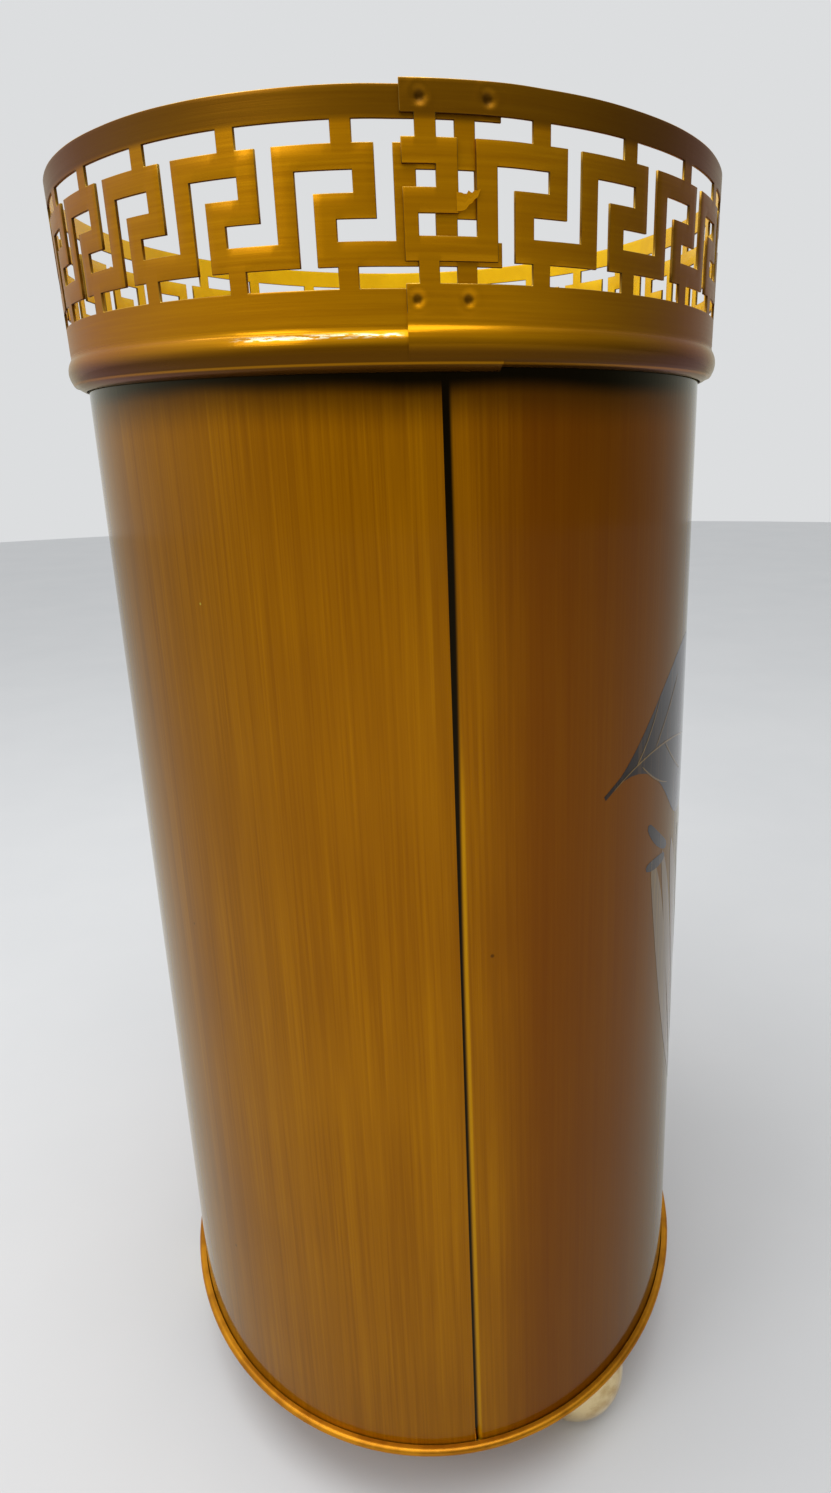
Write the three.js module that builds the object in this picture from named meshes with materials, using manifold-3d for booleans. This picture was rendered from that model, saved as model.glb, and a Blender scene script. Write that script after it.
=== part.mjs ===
// Oval sheet-metal umbrella stand.
//
// One rolled sheet makes the body, its side edges lapped in an upright seam at the narrow end (-Y).
// A pierced key-pattern strip is rolled round the mouth: its ends are lapped and spot welded at the same
// end, and its lower edge is a bead that wraps the body's curled top edge. A pressed pan closes the
// bottom, folded round the body's flange, and stands on three ball feet, each held by a screw and washer.
// Millimetres, +Z up, origin on the ground in the middle of the oval.

import * as THREE from 'three';
import { mergeVertices } from 'three/addons/utils/BufferGeometryUtils.js';
import Module from 'manifold-3d';

const wasm = await Module();
wasm.setup();

// ---- driving sizes -------------------------------------------------------------------------------------

const sheet = 0.8; // thickness of every sheet
const gap = 0.3; // air left between pieces that touch

const bodyHalfWidth = 108; // outside of the body, along X
const bodyHalfDepth = 135; // outside of the body, along Y
const bodyFacets = 44; // flats round the body
const seamPlace = 1.6; // upright edge of the body's lap, from the middle of the narrow end
const seamLap = 8; // how far the other edge runs under it
const flangeOut = 2; // the body's bottom flange

const rimBottom = 31; // underside of the pan's folded edge above the ground
const rimHeight = 3.5; // height of the folded edge
const rimChamfer = 0.9; // its outer corners
const panelInset = 4; // from the body's face to where the pan's floor begins to rise
const panelRise = 2; // the pan's floor is pressed up by this, and its slope is as wide
const panelLedge = 4; // level edge of the raised floor that the disc joins

const beadRadius = 6.7; // outside of the bead
const beadInset = 0.8; // the bead's middle lies this far inside the body's face
const beadTuck = 0.475; // the bead's upper end runs this far behind the strip
const beadLowEnd = -74; // the bead's lower end, in degrees from outwards
const curlSpan = [80, -40]; // ends of the body's curl inside it
const curlClear = 0.4; // between the bead and the curl
const arcPieces = 5; // flats in each of those arcs

const galleryTop = 460; // top edge above the ground
const galleryTall = 55.2; // from the bead's middle to the top edge
const galleryOut = 4.6; // outside of the strip, out from the body's face
const topBand = 6.9; // plain band above the keys
const barWide = 5.3; // upright bars of the key
const barTall = 5.5; // level bars of the key
const slotTall = 4.7; // openings between the level bars
const postWide = 5; // short posts that tie the keys to the bands
const pitchAim = 28.7; // the key's pitch is fitted to the ring from this
const flatsPerKey = 2;
const lapPhase = 0.674; // part of a pitch by which the lapped ends are out of step
const firstPost = -0.9; // the outer end's first post, from the middle of the narrow end
const lapStart = -6.6; // the outer end's edge
const lapFinish = 17.4; // the inner end's edge
const lapRaise = 1; // the outer end sits this much higher
const cutterStand = 0.14; // how far a piercing cutter stands out of the sheet
const weldSize = 3;
const weldPlaces = { top: [-2, 14], foot: [-4, 8.5] }; // spot welds along the two bands

const footRadius = 20; // the ball
const footSink = 2; // cut off the bottom of the ball for the flat that it stands on
const footFlats = 7; // flats in the ball's profile
const collarRadius = 9; // neck between the ball and the pan
const collarTall = 2;
const footInset = 18.6; // from the body's face in to the middle of a foot
const footTurns = [33.4, 146.6, 270]; // places round the oval, in degrees from the narrow end

const screwRadius = 2;
const screwLength = 15;
const screwHead = { radius: 4, height: 2.4, edge: 0.8, slotWide: 1, slotDeep: 1 };
const headShoulder = { radius: 3.2, height: 1.8 }; // where the head's dome bends over
const headCrown = 1.6; // radius of the flat on top of it
const washer = { radius: 6, thick: 0.8 };

// ---- fineness ------------------------------------------------------------------------------------------

const girthPieces = 2048; // steps in which the oval's length is added up
const sameSpot = 1e-5; // vertices this close are one
const sameStop = 1e-6; // and so are stops along a route
const ballSides = 18;
const fixingSides = 12;

// ---- colours and finishes ------------------------------------------------------------------------------

const bodyLacquer = { color: 0x8a5a08, metalness: 0.9, roughness: 0.32 };
const galleryLacquer = { color: 0xa06c0c, metalness: 0.9, roughness: 0.34 };
const rimGold = { color: 0xc4861a, metalness: 0.9, roughness: 0.3 };
const polishedBrass = { color: 0xd2b070, metalness: 1, roughness: 0.18 };
const zincPlate = { color: 0xb9b5aa, metalness: 1, roughness: 0.35 };

// ---- solids --------------------------------------------------------------------------------------------

/** Turns a closed three.js geometry into a solid for joining and cutting. */
function solidOf(geometry) {
  const bare = geometry.clone();
  bare.deleteAttribute('normal');
  bare.deleteAttribute('uv');
  const merged = mergeVertices(bare, sameSpot);
  return new wasm.Manifold(new wasm.Mesh({
    numProp: 3,
    vertProperties: new Float32Array(merged.attributes.position.array),
    triVerts: new Uint32Array(merged.index.array),
  }));
}

/** Turns a solid back into a three.js geometry. */
function geometryOf(solid) {
  const mesh = solid.getMesh();
  const geometry = new THREE.BufferGeometry();
  geometry.setAttribute('position', new THREE.BufferAttribute(mesh.vertProperties, 3));
  geometry.setIndex(new THREE.BufferAttribute(mesh.triVerts, 1));
  geometry.computeVertexNormals();
  return geometry;
}

/** A turned piece from [radius, height] points, standing on +Z. */
function turned(points, sides) {
  const geometry = new THREE.LatheGeometry(points.map(([r, z]) => new THREE.Vector2(r, z)), sides);
  geometry.rotateX(Math.PI / 2);
  return geometry;
}

// ---- the oval and the routes round it ------------------------------------------------------------------

/** A point of the body's oval moved outwards at right angles to it. Angle 0 is the narrow end at -Y. */
function ovalPoint(angle, out) {
  const across = bodyHalfDepth * Math.sin(angle);
  const along = -bodyHalfWidth * Math.cos(angle);
  const length = Math.hypot(across, along);
  return new THREE.Vector2(
    bodyHalfWidth * Math.sin(angle) + (out * across) / length,
    -bodyHalfDepth * Math.cos(angle) + (out * along) / length,
  );
}

/** Distances along the oval at one offset, counted from the middle of the narrow end towards +X. */
class Girth {
  constructor(out) {
    this.lengths = [0];
    for (let i = 1; i <= girthPieces; i += 1) {
      const before = ovalPoint((2 * Math.PI * (i - 1)) / girthPieces, out);
      const after = ovalPoint((2 * Math.PI * i) / girthPieces, out);
      this.lengths.push(this.lengths[i - 1] + before.distanceTo(after));
    }
    this.total = this.lengths[girthPieces];
  }

  angleAt(distance) {
    const turns = Math.floor(distance / this.total);
    const rest = distance - turns * this.total;
    let low = 0;
    let high = girthPieces;
    while (high - low > 1) {
      const middle = Math.floor((low + high) / 2);
      if (this.lengths[middle] <= rest) low = middle;
      else high = middle;
    }
    const part = (rest - this.lengths[low]) / (this.lengths[high] - this.lengths[low]);
    return 2 * Math.PI * (turns + (low + part) / girthPieces);
  }
}

/**
 * A route round the oval made of flats. Pieces swept along one route share its flats exactly.
 * setOut(distance) and raise(distance) move the sheet outwards and upwards.
 */
class Route {
  constructor(girth, start, step, setOut = () => 0, raise = () => 0) {
    Object.assign(this, { girth, start, step, setOut, raise });
  }

  corner(index, out, height) {
    const distance = this.start + index * this.step;
    const spot = ovalPoint(this.girth.angleAt(distance), out + this.setOut(distance));
    return new THREE.Vector3(spot.x, spot.y, height + this.raise(distance));
  }

  place(distance, out, height) {
    const flats = (distance - this.start) / this.step;
    const index = Math.floor(flats + sameStop);
    const before = this.corner(index, out, height);
    return before.lerp(this.corner(index + 1, out, height), flats - index);
  }

  stops(from, to) {
    const list = [from];
    let index = Math.floor((from - this.start) / this.step + sameStop) + 1;
    while (this.start + index * this.step < to - sameStop) {
      list.push(this.start + index * this.step);
      index += 1;
    }
    return [...list, to];
  }
}

/** Sweeps a section of [out, height] points along a route between two distances. */
function sweep(route, section, from, to) {
  const stops = route.stops(from, to);
  const steps = stops.length - 1;
  const shape = new THREE.Shape(section.map(([out, height]) => new THREE.Vector2(out, height)));
  const geometry = new THREE.ExtrudeGeometry(shape, { depth: steps, steps, bevelEnabled: false });
  const position = geometry.attributes.position;
  for (let i = 0; i < position.count; i += 1) {
    const stop = stops[steps - Math.round(position.getZ(i))];
    const spot = route.place(stop, position.getX(i), position.getY(i));
    position.setXYZ(i, spot.x, spot.y, spot.z);
  }
  return solidOf(geometry);
}

/** Sweeps a section all the way round, as two halves that meet face to face. */
function sweepRing(route, section) {
  const middle = route.start + Math.round(bodyFacets / 2) * route.step;
  const end = route.start + bodyFacets * route.step;
  return sweep(route, section, route.start, middle).add(sweep(route, section, middle, end));
}

/** A rectangle of [out, height] points. */
function slab(inner, outer, bottom, top) {
  return [[inner, bottom], [outer, bottom], [outer, top], [inner, top]];
}

/** An arc of [out, height] points about the bead's middle, from one angle in degrees to another. */
function beadArc(radius, fromAngle, toAngle) {
  const points = [];
  for (let i = 0; i <= arcPieces; i += 1) {
    const angle = THREE.MathUtils.degToRad(fromAngle + ((toAngle - fromAngle) * i) / arcPieces);
    points.push([radius * Math.cos(angle) - beadInset, beadCentre + radius * Math.sin(angle)]);
  }
  return points;
}

const beadCentre = galleryTop - galleryTall;
const bodyGirth = new Girth(0);
const ringRoute = new Route(bodyGirth, seamPlace, bodyGirth.total / bodyFacets);
const layerStep = sheet + gap; // from one lapped layer to the next

// ---- body ----------------------------------------------------------------------------------------------

const flangeBottom = rimBottom + sheet + gap;
const curlRadius = beadRadius - sheet - curlClear;

/** The rolled sheet: the lapped wall, the bottom flange and the curled top edge. */
function bodyTube() {
  const { start, step } = ringRoute;
  const route = new Route(bodyGirth, start, step, (distance) => (distance > start ? 0 : -layerStep));
  const flangeTop = flangeBottom + sheet;
  const whole = [
    [-sheet, flangeBottom],
    [flangeOut, flangeBottom],
    [flangeOut, flangeTop],
    [0, flangeTop],
    ...beadArc(curlRadius - sheet, curlSpan[0], curlSpan[1]),
    ...beadArc(curlRadius, curlSpan[1], 90),
  ];
  const wall = slab(-sheet, 0, flangeBottom, beadCentre + curlRadius - sheet / 2);
  return sweep(route, whole, start + gap, start + bodyGirth.total)
    .add(sweep(route, wall, start - seamLap, start + gap));
}

// ---- pierced gallery -----------------------------------------------------------------------------------

const galleryGirth = new Girth(galleryOut);
const pitch = galleryGirth.total / (Math.round(galleryGirth.total / pitchAim - lapPhase) + lapPhase);
const third = pitch / 3; // from one upright bar to the next
const flat = pitch / flatsPerKey;
const innerFace = galleryOut - sheet;
const stripBottom = beadCentre + beadMetal(innerFace, galleryOut); // buried in the top of the bead
const lappedFace = innerFace + layerStep;
const skirtBottom = beadCentre + beadMetal(lappedFace, lappedFace) - lapRaise; // the outer end reaches it too
const stripEnd = galleryGirth.total + lapFinish;

// Levels of the key from the lower band up: slot, bar, slot, bar, slot, bar, slot.
const levels = [galleryTop - topBand - 4 * slotTall - 3 * barTall];
for (let i = 0; i < 7; i += 1) levels.push(levels[i] + (i % 2 ? barTall : slotTall));

/** Section through the strip between two heights, made thicker by grow on each side. */
function stripSection(bottom, top, grow = 0) {
  return slab(innerFace - grow, galleryOut + grow, bottom, top);
}

/** A height above the bead's middle that is inside the bead's metal: above its inside, below its outside. */
function beadMetal(inner, outer) {
  const above = Math.sqrt((beadRadius - sheet) ** 2 - (inner + beadInset) ** 2);
  const below = Math.sqrt(beadRadius ** 2 - (outer + beadInset) ** 2);
  return (above + below) / 2;
}

/** The openings of one key that starts at a distance: [from, to, bottom, top] for each. */
function keyOpenings(start) {
  const bar = barWide / 2;
  const side = 1.5 * third + postWide / 2;
  const far = 4.5 * third - postWide / 2;
  const near = 1.5 * third - postWide / 2;
  return [
    [start + side, start + far, levels[6], levels[7]],
    [start + 2 * third + bar, start + 3 * third - bar, levels[2], levels[7] - slotTall / 2],
    [start + third + bar, start + 3 * third - bar, levels[2], levels[3]],
    [start + 3 * third - far, start + near, levels[0], levels[1]],
    [start + bar, start + third - bar, levels[0] + slotTall / 2, levels[5]],
    [start + bar, start + 2 * third - bar, levels[4], levels[5]],
  ];
}

/** The strip with its keys pierced, its ends lapped and welded, joined to the bead round the mouth. */
function galleryBand() {
  const keyStart = firstPost - 1.5 * third;
  const held = lapFinish + flat; // the outer end stands out as far as this, then comes in
  const fade = (distance) => 1 - THREE.MathUtils.smoothstep(distance, held, held + flat);
  const route = new Route(
    galleryGirth,
    keyStart,
    flat,
    (distance) => layerStep * fade(distance),
    (distance) => lapRaise * fade(distance),
  );

  let strip = sweep(route, stripSection(stripBottom, galleryTop), lapStart, stripEnd);
  const cutters = [];
  for (let start = keyStart - pitch; start < stripEnd + pitch; start += pitch) {
    for (const [from, to, bottom, top] of keyOpenings(start)) {
      const first = Math.max(from, lapStart - cutterStand);
      const last = Math.min(to, stripEnd + cutterStand);
      if (last - first > cutterStand) {
        cutters.push(sweep(route, stripSection(bottom, top, cutterStand), first, last));
      }
    }
  }
  strip = strip.subtract(wasm.Manifold.union(cutters));

  const skirt = sweep(route, stripSection(skirtBottom, stripBottom + sheet), lapStart, held);
  const joined = [strip, skirt];
  const middle = galleryOut - sheet / 2;
  const weldHeights = { top: galleryTop - topBand / 2, foot: levels[0] - topBand / 2 };
  for (const band of Object.keys(weldPlaces)) {
    for (const place of weldPlaces[band]) {
      const low = weldHeights[band] - weldSize / 2;
      const nugget = slab(middle - layerStep, middle, low, low + weldSize);
      joined.push(sweep(route, nugget, place - weldSize / 2, place + weldSize / 2));
    }
  }

  const highEnd = THREE.MathUtils.radToDeg(Math.acos((innerFace + beadInset - beadTuck) / beadRadius));
  const bead = [
    ...beadArc(beadRadius, beadLowEnd, highEnd),
    ...beadArc(beadRadius - sheet, highEnd, beadLowEnd),
  ];
  joined.push(sweepRing(ringRoute, bead));
  return wasm.Manifold.union(joined);
}

// ---- pan -----------------------------------------------------------------------------------------------

const floorBottom = rimBottom + panelRise;
const floorTop = floorBottom + sheet;
const boreRadius = screwRadius + gap;
const footSpots = footTurns.map((turn) => ovalPoint(THREE.MathUtils.degToRad(turn), -footInset));

/** The pressed bottom: a fold round the body's flange, a slope, a raised floor, and the screw holes. */
function basePan() {
  const inside = flangeOut + gap;
  const outside = inside + sheet;
  const rimTop = rimBottom + rimHeight;
  const lipBottom = flangeBottom + sheet + gap;
  const slopeEnd = -panelInset - panelRise;
  const ledgeEnd = slopeEnd - panelLedge;
  const fold = [
    [outside - rimChamfer, rimBottom],
    [outside, rimBottom + rimChamfer],
    [outside, rimTop - rimChamfer],
    [outside - rimChamfer, rimTop],
    [gap, rimTop],
    [gap, lipBottom],
    [inside, lipBottom],
    [inside, rimBottom + sheet],
    [-panelInset, rimBottom + sheet],
    [slopeEnd, floorTop],
    [ledgeEnd, floorTop],
    [ledgeEnd, floorBottom],
    [slopeEnd, floorBottom],
    [-panelInset, rimBottom],
  ];
  const outline = [];
  for (let i = 0; i < bodyFacets; i += 1) {
    const spot = ringRoute.corner(i, ledgeEnd + sheet, 0);
    outline.push(new THREE.Vector2(spot.x, spot.y));
  }
  const floor = new THREE.ExtrudeGeometry(new THREE.Shape(outline), { depth: sheet, bevelEnabled: false });
  floor.translate(0, 0, floorBottom);
  let pan = sweepRing(ringRoute, fold).add(solidOf(floor));
  for (const { x, y } of footSpots) {
    const hole = new THREE.CylinderGeometry(boreRadius, boreRadius, 4 * sheet, fixingSides);
    hole.rotateX(Math.PI / 2);
    hole.translate(x, y, floorBottom);
    pan = pan.subtract(solidOf(hole));
  }
  return pan;
}

// ---- feet, screws and washers --------------------------------------------------------------------------

const washerBottom = floorTop + gap;
const headBottom = washerBottom + washer.thick + gap;
const screwTip = headBottom - screwLength;
const collarTop = floorBottom - gap;

/** A ball with a flat to stand on, a collar under the pan and a blind hole for the screw. */
function footGeometry() {
  const profile = [[0, 0]];
  const footCentre = footRadius - footSink;
  const footTop = collarTop - collarTall;
  const low = Math.asin(-footCentre / footRadius);
  const high = Math.asin((footTop - footCentre) / footRadius);
  for (let i = 0; i <= footFlats; i += 1) {
    const angle = low + ((high - low) * i) / footFlats;
    profile.push([footRadius * Math.cos(angle), footCentre + footRadius * Math.sin(angle)]);
  }
  profile[1][1] = 0;
  profile.push(
    [collarRadius, footTop],
    [collarRadius, collarTop],
    [boreRadius, collarTop],
    [boreRadius, screwTip - gap],
    [0, screwTip - gap],
  );
  return turned(profile, ballSides);
}

/** A slotted screw with a low domed head. */
function screwGeometry() {
  const { radius, height, edge, slotWide, slotDeep } = screwHead;
  const headTop = headBottom + height;
  const body = turned([
    [0, screwTip],
    [screwRadius, screwTip],
    [screwRadius, headBottom],
    [radius, headBottom],
    [radius, headBottom + edge],
    [headShoulder.radius, headBottom + headShoulder.height],
    [headCrown, headTop],
    [0, headTop],
  ], fixingSides);
  const slot = new THREE.BoxGeometry(3 * radius, slotWide, 2 * slotDeep);
  slot.translate(0, 0, headTop);
  return geometryOf(solidOf(body).subtract(solidOf(slot)));
}

/** A flat ring. */
function washerGeometry() {
  const top = washerBottom + washer.thick;
  return turned([
    [boreRadius, washerBottom],
    [washer.radius, washerBottom],
    [washer.radius, top],
    [boreRadius, top],
    [boreRadius, washerBottom],
  ], fixingSides);
}

// ---- assembly ------------------------------------------------------------------------------------------

const stand = new THREE.Group();

/** Adds one named piece to the stand. */
function addPiece(name, geometry, finish, x = 0, y = 0) {
  const mesh = new THREE.Mesh(geometry, new THREE.MeshStandardMaterial(finish));
  mesh.name = name;
  mesh.position.set(x, y, 0);
  stand.add(mesh);
}

addPiece('body_tube', geometryOf(bodyTube()), bodyLacquer);
addPiece('gallery_band', geometryOf(galleryBand()), galleryLacquer);
addPiece('base_pan', geometryOf(basePan()), rimGold);
footSpots.forEach(({ x, y }, index) => {
  addPiece(`foot_${index + 1}`, footGeometry(), polishedBrass, x, y);
  addPiece(`foot_screw_${index + 1}`, screwGeometry(), zincPlate, x, y);
  addPiece(`foot_washer_${index + 1}`, washerGeometry(), zincPlate, x, y);
});

export default stand;
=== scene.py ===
"""An oval sheet-metal umbrella stand: lapped body, pierced gallery, pressed pan and three ball feet."""

import logging
import math
from dataclasses import dataclass, field, replace
from enum import Enum
from functools import cache

import bmesh
import bpy
import numpy as np
from mathutils import Matrix, Vector

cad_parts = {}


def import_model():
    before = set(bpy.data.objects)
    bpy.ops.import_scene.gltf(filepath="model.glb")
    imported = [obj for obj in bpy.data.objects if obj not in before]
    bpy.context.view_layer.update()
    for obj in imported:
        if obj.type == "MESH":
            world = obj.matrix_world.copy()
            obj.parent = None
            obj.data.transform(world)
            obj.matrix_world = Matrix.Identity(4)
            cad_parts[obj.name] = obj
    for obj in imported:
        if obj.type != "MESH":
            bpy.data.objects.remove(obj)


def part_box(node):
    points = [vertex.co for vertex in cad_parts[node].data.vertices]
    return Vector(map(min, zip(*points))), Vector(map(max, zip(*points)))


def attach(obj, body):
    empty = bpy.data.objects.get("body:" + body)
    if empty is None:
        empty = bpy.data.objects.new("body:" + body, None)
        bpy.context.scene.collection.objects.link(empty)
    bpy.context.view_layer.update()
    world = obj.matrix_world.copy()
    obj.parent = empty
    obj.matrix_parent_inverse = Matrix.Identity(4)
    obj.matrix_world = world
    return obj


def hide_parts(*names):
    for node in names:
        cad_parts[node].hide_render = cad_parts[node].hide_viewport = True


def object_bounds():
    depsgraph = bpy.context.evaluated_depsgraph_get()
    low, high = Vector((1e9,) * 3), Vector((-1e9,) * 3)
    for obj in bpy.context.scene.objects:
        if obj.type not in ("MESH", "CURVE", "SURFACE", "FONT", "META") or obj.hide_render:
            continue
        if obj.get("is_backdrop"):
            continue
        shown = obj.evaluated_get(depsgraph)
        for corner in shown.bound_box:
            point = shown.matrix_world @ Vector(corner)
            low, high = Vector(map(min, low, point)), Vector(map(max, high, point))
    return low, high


LOG = logging.getLogger("umbrella_stand")
MM = 0.001
ROOT = "root"
FOLD_REACH = 3.1 * MM  # how far the pan's fold stands out of the oval
CLEAR_TOP = 0.02 * MM  # what the gallery stays below the CAD box


# ---- small tools ---------------------------------------------------------------------------------------


def smooth(value: np.ndarray, low: float, high: float) -> np.ndarray:
    """Rises softly from 0 at low to 1 at high.

    Args:
        value: numbers to look up.
        low: where the rise begins.
        high: where it ends.

    Returns:
        The share for each number.
    """
    t = np.clip((value - low) / (high - low), 0.0, 1.0)
    return t * t * (3.0 - 2.0 * t)


def ripple(places: np.ndarray, length: float, seed: int) -> np.ndarray:
    """A gentle unevenness along a line, the same in every run.

    Args:
        places: distances along the line, in metres.
        length: rough length of a wave.
        seed: picks the waves.

    Returns:
        Numbers from about -1 to 1.
    """
    draw = np.random.default_rng(seed)
    total = np.zeros_like(places, dtype=float)
    shares = (1.0, 0.55, 0.31)
    for share in shares:
        phase = draw.uniform(0.0, 2.0 * math.pi)
        total += share * np.sin(2.0 * math.pi * places / (length * share) + phase)
    return total / sum(shares)


class Layer(Enum):
    """Material slots of a sheet's mesh."""

    FACE = 0
    BACK = 1
    EDGE = 2


# ---- finishes ------------------------------------------------------------------------------------------


class Brush(Enum):
    """Which way a lacquered sheet was brushed: stretch of the streaks along and up the sheet."""

    UPRIGHT = (1.0, 0.012)
    LENGTHWISE = (0.02, 1.0)


class NodeBench:
    """Lays out the nodes of one material or world."""

    def __init__(self, owner: bpy.types.Material | bpy.types.World, shader: str) -> None:
        """Starts with the nodes that every new material or world has.

        Args:
            owner: the material or world.
            shader: the name of its shader's node.
        """
        owner.use_nodes = True
        self.tree = owner.node_tree
        self.shader = self.tree.nodes[shader]

    def add(self, kind: str, inputs: dict | None = None, **settings: object) -> bpy.types.Node:
        """Adds a node.

        Args:
            kind: its type without the ShaderNode part.
            inputs: socket values or links by name or number.
            settings: its own properties.

        Returns:
            The new node.
        """
        node = self.tree.nodes.new("ShaderNode" + kind)
        for key, value in settings.items():
            setattr(node, key, value)
        for key, value in (inputs or {}).items():
            self.put(node.inputs[key], value)
        return node

    def put(self, socket: bpy.types.NodeSocket, value: object) -> None:
        """Sets a socket's value, or links it.

        Args:
            socket: the input.
            value: a number, a tuple or another node's output.
        """
        if isinstance(value, bpy.types.NodeSocket):
            self.tree.links.new(value, socket)
        else:
            socket.default_value = value

    def maths(self, operation: str, first: object, second: object = 0.0) -> bpy.types.NodeSocket:
        """The result of a sum on one or two values.

        Args:
            operation: the Math node's operation.
            first: its first value or link.
            second: its second value or link.

        Returns:
            The result's socket.
        """
        return self.add("Math", {0: first, 1: second}, operation=operation).outputs[0]

    def times(self, first: object, *others: object) -> bpy.types.NodeSocket:
        """The product of two or more values.

        Args:
            first: the first value or link.
            others: the rest of them.

        Returns:
            The product's socket.
        """
        for other in others:
            first = self.maths("MULTIPLY", first, other)
        return first

    def line(self, value: object, slope: float, start: float) -> bpy.types.NodeSocket:
        """A value scaled and raised.

        Args:
            value: the number or link.
            slope: what it is multiplied by.
            start: what is then added.

        Returns:
            The result's socket.
        """
        return self.add("Math", {0: value, 1: slope, 2: start}, operation="MULTIPLY_ADD").outputs[0]

    def parts(self, vector: bpy.types.NodeSocket) -> list[bpy.types.NodeSocket]:
        """The three parts of a vector."""
        return list(self.add("SeparateXYZ", {0: vector}).outputs)

    def rise(self, value: object, low: object, high: object) -> bpy.types.NodeSocket:
        """A soft step from 0 at low to 1 at high, which may be the smaller one.

        Args:
            value: the number or link to look up.
            low: number or link where the step begins.
            high: number or link where it ends.

        Returns:
            The share's socket.
        """
        inputs = {"Value": value, "From Min": low, "From Max": high}
        return self.add("MapRange", inputs, interpolation_type="SMOOTHSTEP").outputs[0]

    def near(self, value: object, middle: object, edge: float, full: float) -> bpy.types.NodeSocket:
        """A soft stripe: 1 close to a middle value, 0 away from it.

        Args:
            value: the number or link to look up.
            middle: the middle value or its link.
            edge: how far from the middle the stripe ends.
            full: how far from the middle it is still whole.

        Returns:
            The share's socket.
        """
        return self.rise(self.maths("ABSOLUTE", self.maths("SUBTRACT", value, middle)), edge, full)

    def noise(self, vector: bpy.types.NodeSocket, scale: float, detail: float = 3.0) -> bpy.types.NodeSocket:
        """Soft noise about a half.

        Args:
            vector: where to read it.
            scale: its fineness.
            detail: how many finer layers it has.

        Returns:
            The noise's socket.
        """
        inputs = {"Vector": vector, "Scale": scale, "Detail": detail, "Roughness": 0.6}
        return self.add("TexNoise", inputs).outputs["Fac"]

    def stretched(
        self, vector: bpy.types.NodeSocket, scale: tuple[float, float, float]
    ) -> bpy.types.NodeSocket:
        """A vector stretched along its axes.

        Args:
            vector: the vector.
            scale: its three factors.

        Returns:
            The stretched vector's socket.
        """
        return self.add("Mapping", {"Vector": vector, "Scale": scale}).outputs[0]

    def blend(self, share: object, first: object, second: object) -> bpy.types.NodeSocket:
        """A mix of two colours.

        Args:
            share: how much of the second.
            first: colour or link at 0.
            second: colour or link at 1.

        Returns:
            The mixed colour's socket.
        """
        node = self.add("Mix", data_type="RGBA")
        for socket, value in ((node.inputs[0], share), (node.inputs[6], first), (node.inputs[7], second)):
            self.put(socket, value)
        return node.outputs[2]

    def lay_over(self, under: object, layers: "Layers") -> bpy.types.NodeSocket:
        """Lays colours over a colour, one after the other.

        Args:
            under: colour or link to start with.
            layers: share and colour of each layer.

        Returns:
            The mixed colour's socket.
        """
        for share, over in layers:
            under = self.blend(share, under, over)
        return under

    def bump(self, height: bpy.types.NodeSocket, depth: float, strength: float) -> None:
        """Roughens the surface by a height.

        Args:
            height: the height's socket.
            depth: what a height of 1 means, in metres.
            strength: share of the effect.
        """
        node = self.add("Bump", {"Height": height, "Distance": depth, "Strength": strength})
        self.put(self.shader.inputs["Normal"], node.outputs[0])

    def surface(self, values: dict[str, object]) -> None:
        """Sets inputs of the shader.

        Args:
            values: value or link of each by the input's name.
        """
        for key, value in values.items():
            self.put(self.shader.inputs[key], value)


Paint = tuple[float, float, float, float]


def colour(red: float, green: float, blue: float) -> Paint:
    """A colour with full cover."""
    return (red, green, blue, 1.0)


# Near black: soot, and painted shade in the seam's step and painted shadow just under the bead.
SOOT_AND_SHADE = colour(0.003, 0.0015, 0.0005)


class Spot:
    """Links to the place of the point that is shaded, on its sheet and on the stand."""

    def __init__(self, bench: NodeBench) -> None:
        """Reads the places.

        Args:
            bench: the material's nodes.
        """
        self.sheet = bench.add("UVMap", uv_map="sheet").outputs[0]
        self.along, self.up, _ = bench.parts(self.sheet)
        self.place = bench.add("TexCoord").outputs["Object"]
        self.x, self.y, self.z = bench.parts(self.place)
        self.cloud = bench.noise(self.place, 11.0, 2.0)
        self.front = bench.maths("LESS_THAN", self.y, 0.0)


Layers = list[tuple[bpy.types.NodeSocket, Paint]]


class SheetMark:
    """A mark laid over a lacquered sheet's colour: worn or dirty places, painted shade or a painted
    highlight.
    """

    def layers(self, bench: NodeBench, spot: Spot) -> Layers:
        """What the mark lays over the lacquer.

        Args:
            bench: the material's nodes.
            spot: the shaded point's place.

        Returns:
            Share and colour of each layer.
        """
        raise NotImplementedError


@dataclass(frozen=True)
class Specks(SheetMark):
    """A few dirty specks and a few bright pinholes."""

    cells: float = 85.0
    dirt_and_shade: Paint = colour(0.07, 0.022, 0.0005)
    bright: Paint = colour(0.75, 0.5, 0.14)

    def layers(self, bench: NodeBench, spot: Spot) -> Layers:
        """Rare round spots, one kind small and dark, the other smaller and bright.

        Args:
            bench: the material's nodes.
            spot: the shaded point's place.

        Returns:
            Share and colour of each layer.
        """
        cells = {"Vector": spot.place, "Scale": self.cells, "Randomness": 1.0}
        cell = bench.add("TexVoronoi", cells).outputs
        chance = bench.add("SeparateColor", {0: cell["Color"]}).outputs
        dirty = bench.times(
            bench.rise(cell["Distance"], 0.07, 0.035), bench.maths("GREATER_THAN", chance[0], 0.93), 0.8
        )
        pinhole = bench.times(
            bench.rise(cell["Distance"], 0.045, 0.02), bench.maths("GREATER_THAN", chance[1], 0.95)
        )
        return [(dirty, self.dirt_and_shade), (pinhole, self.bright)]


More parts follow.
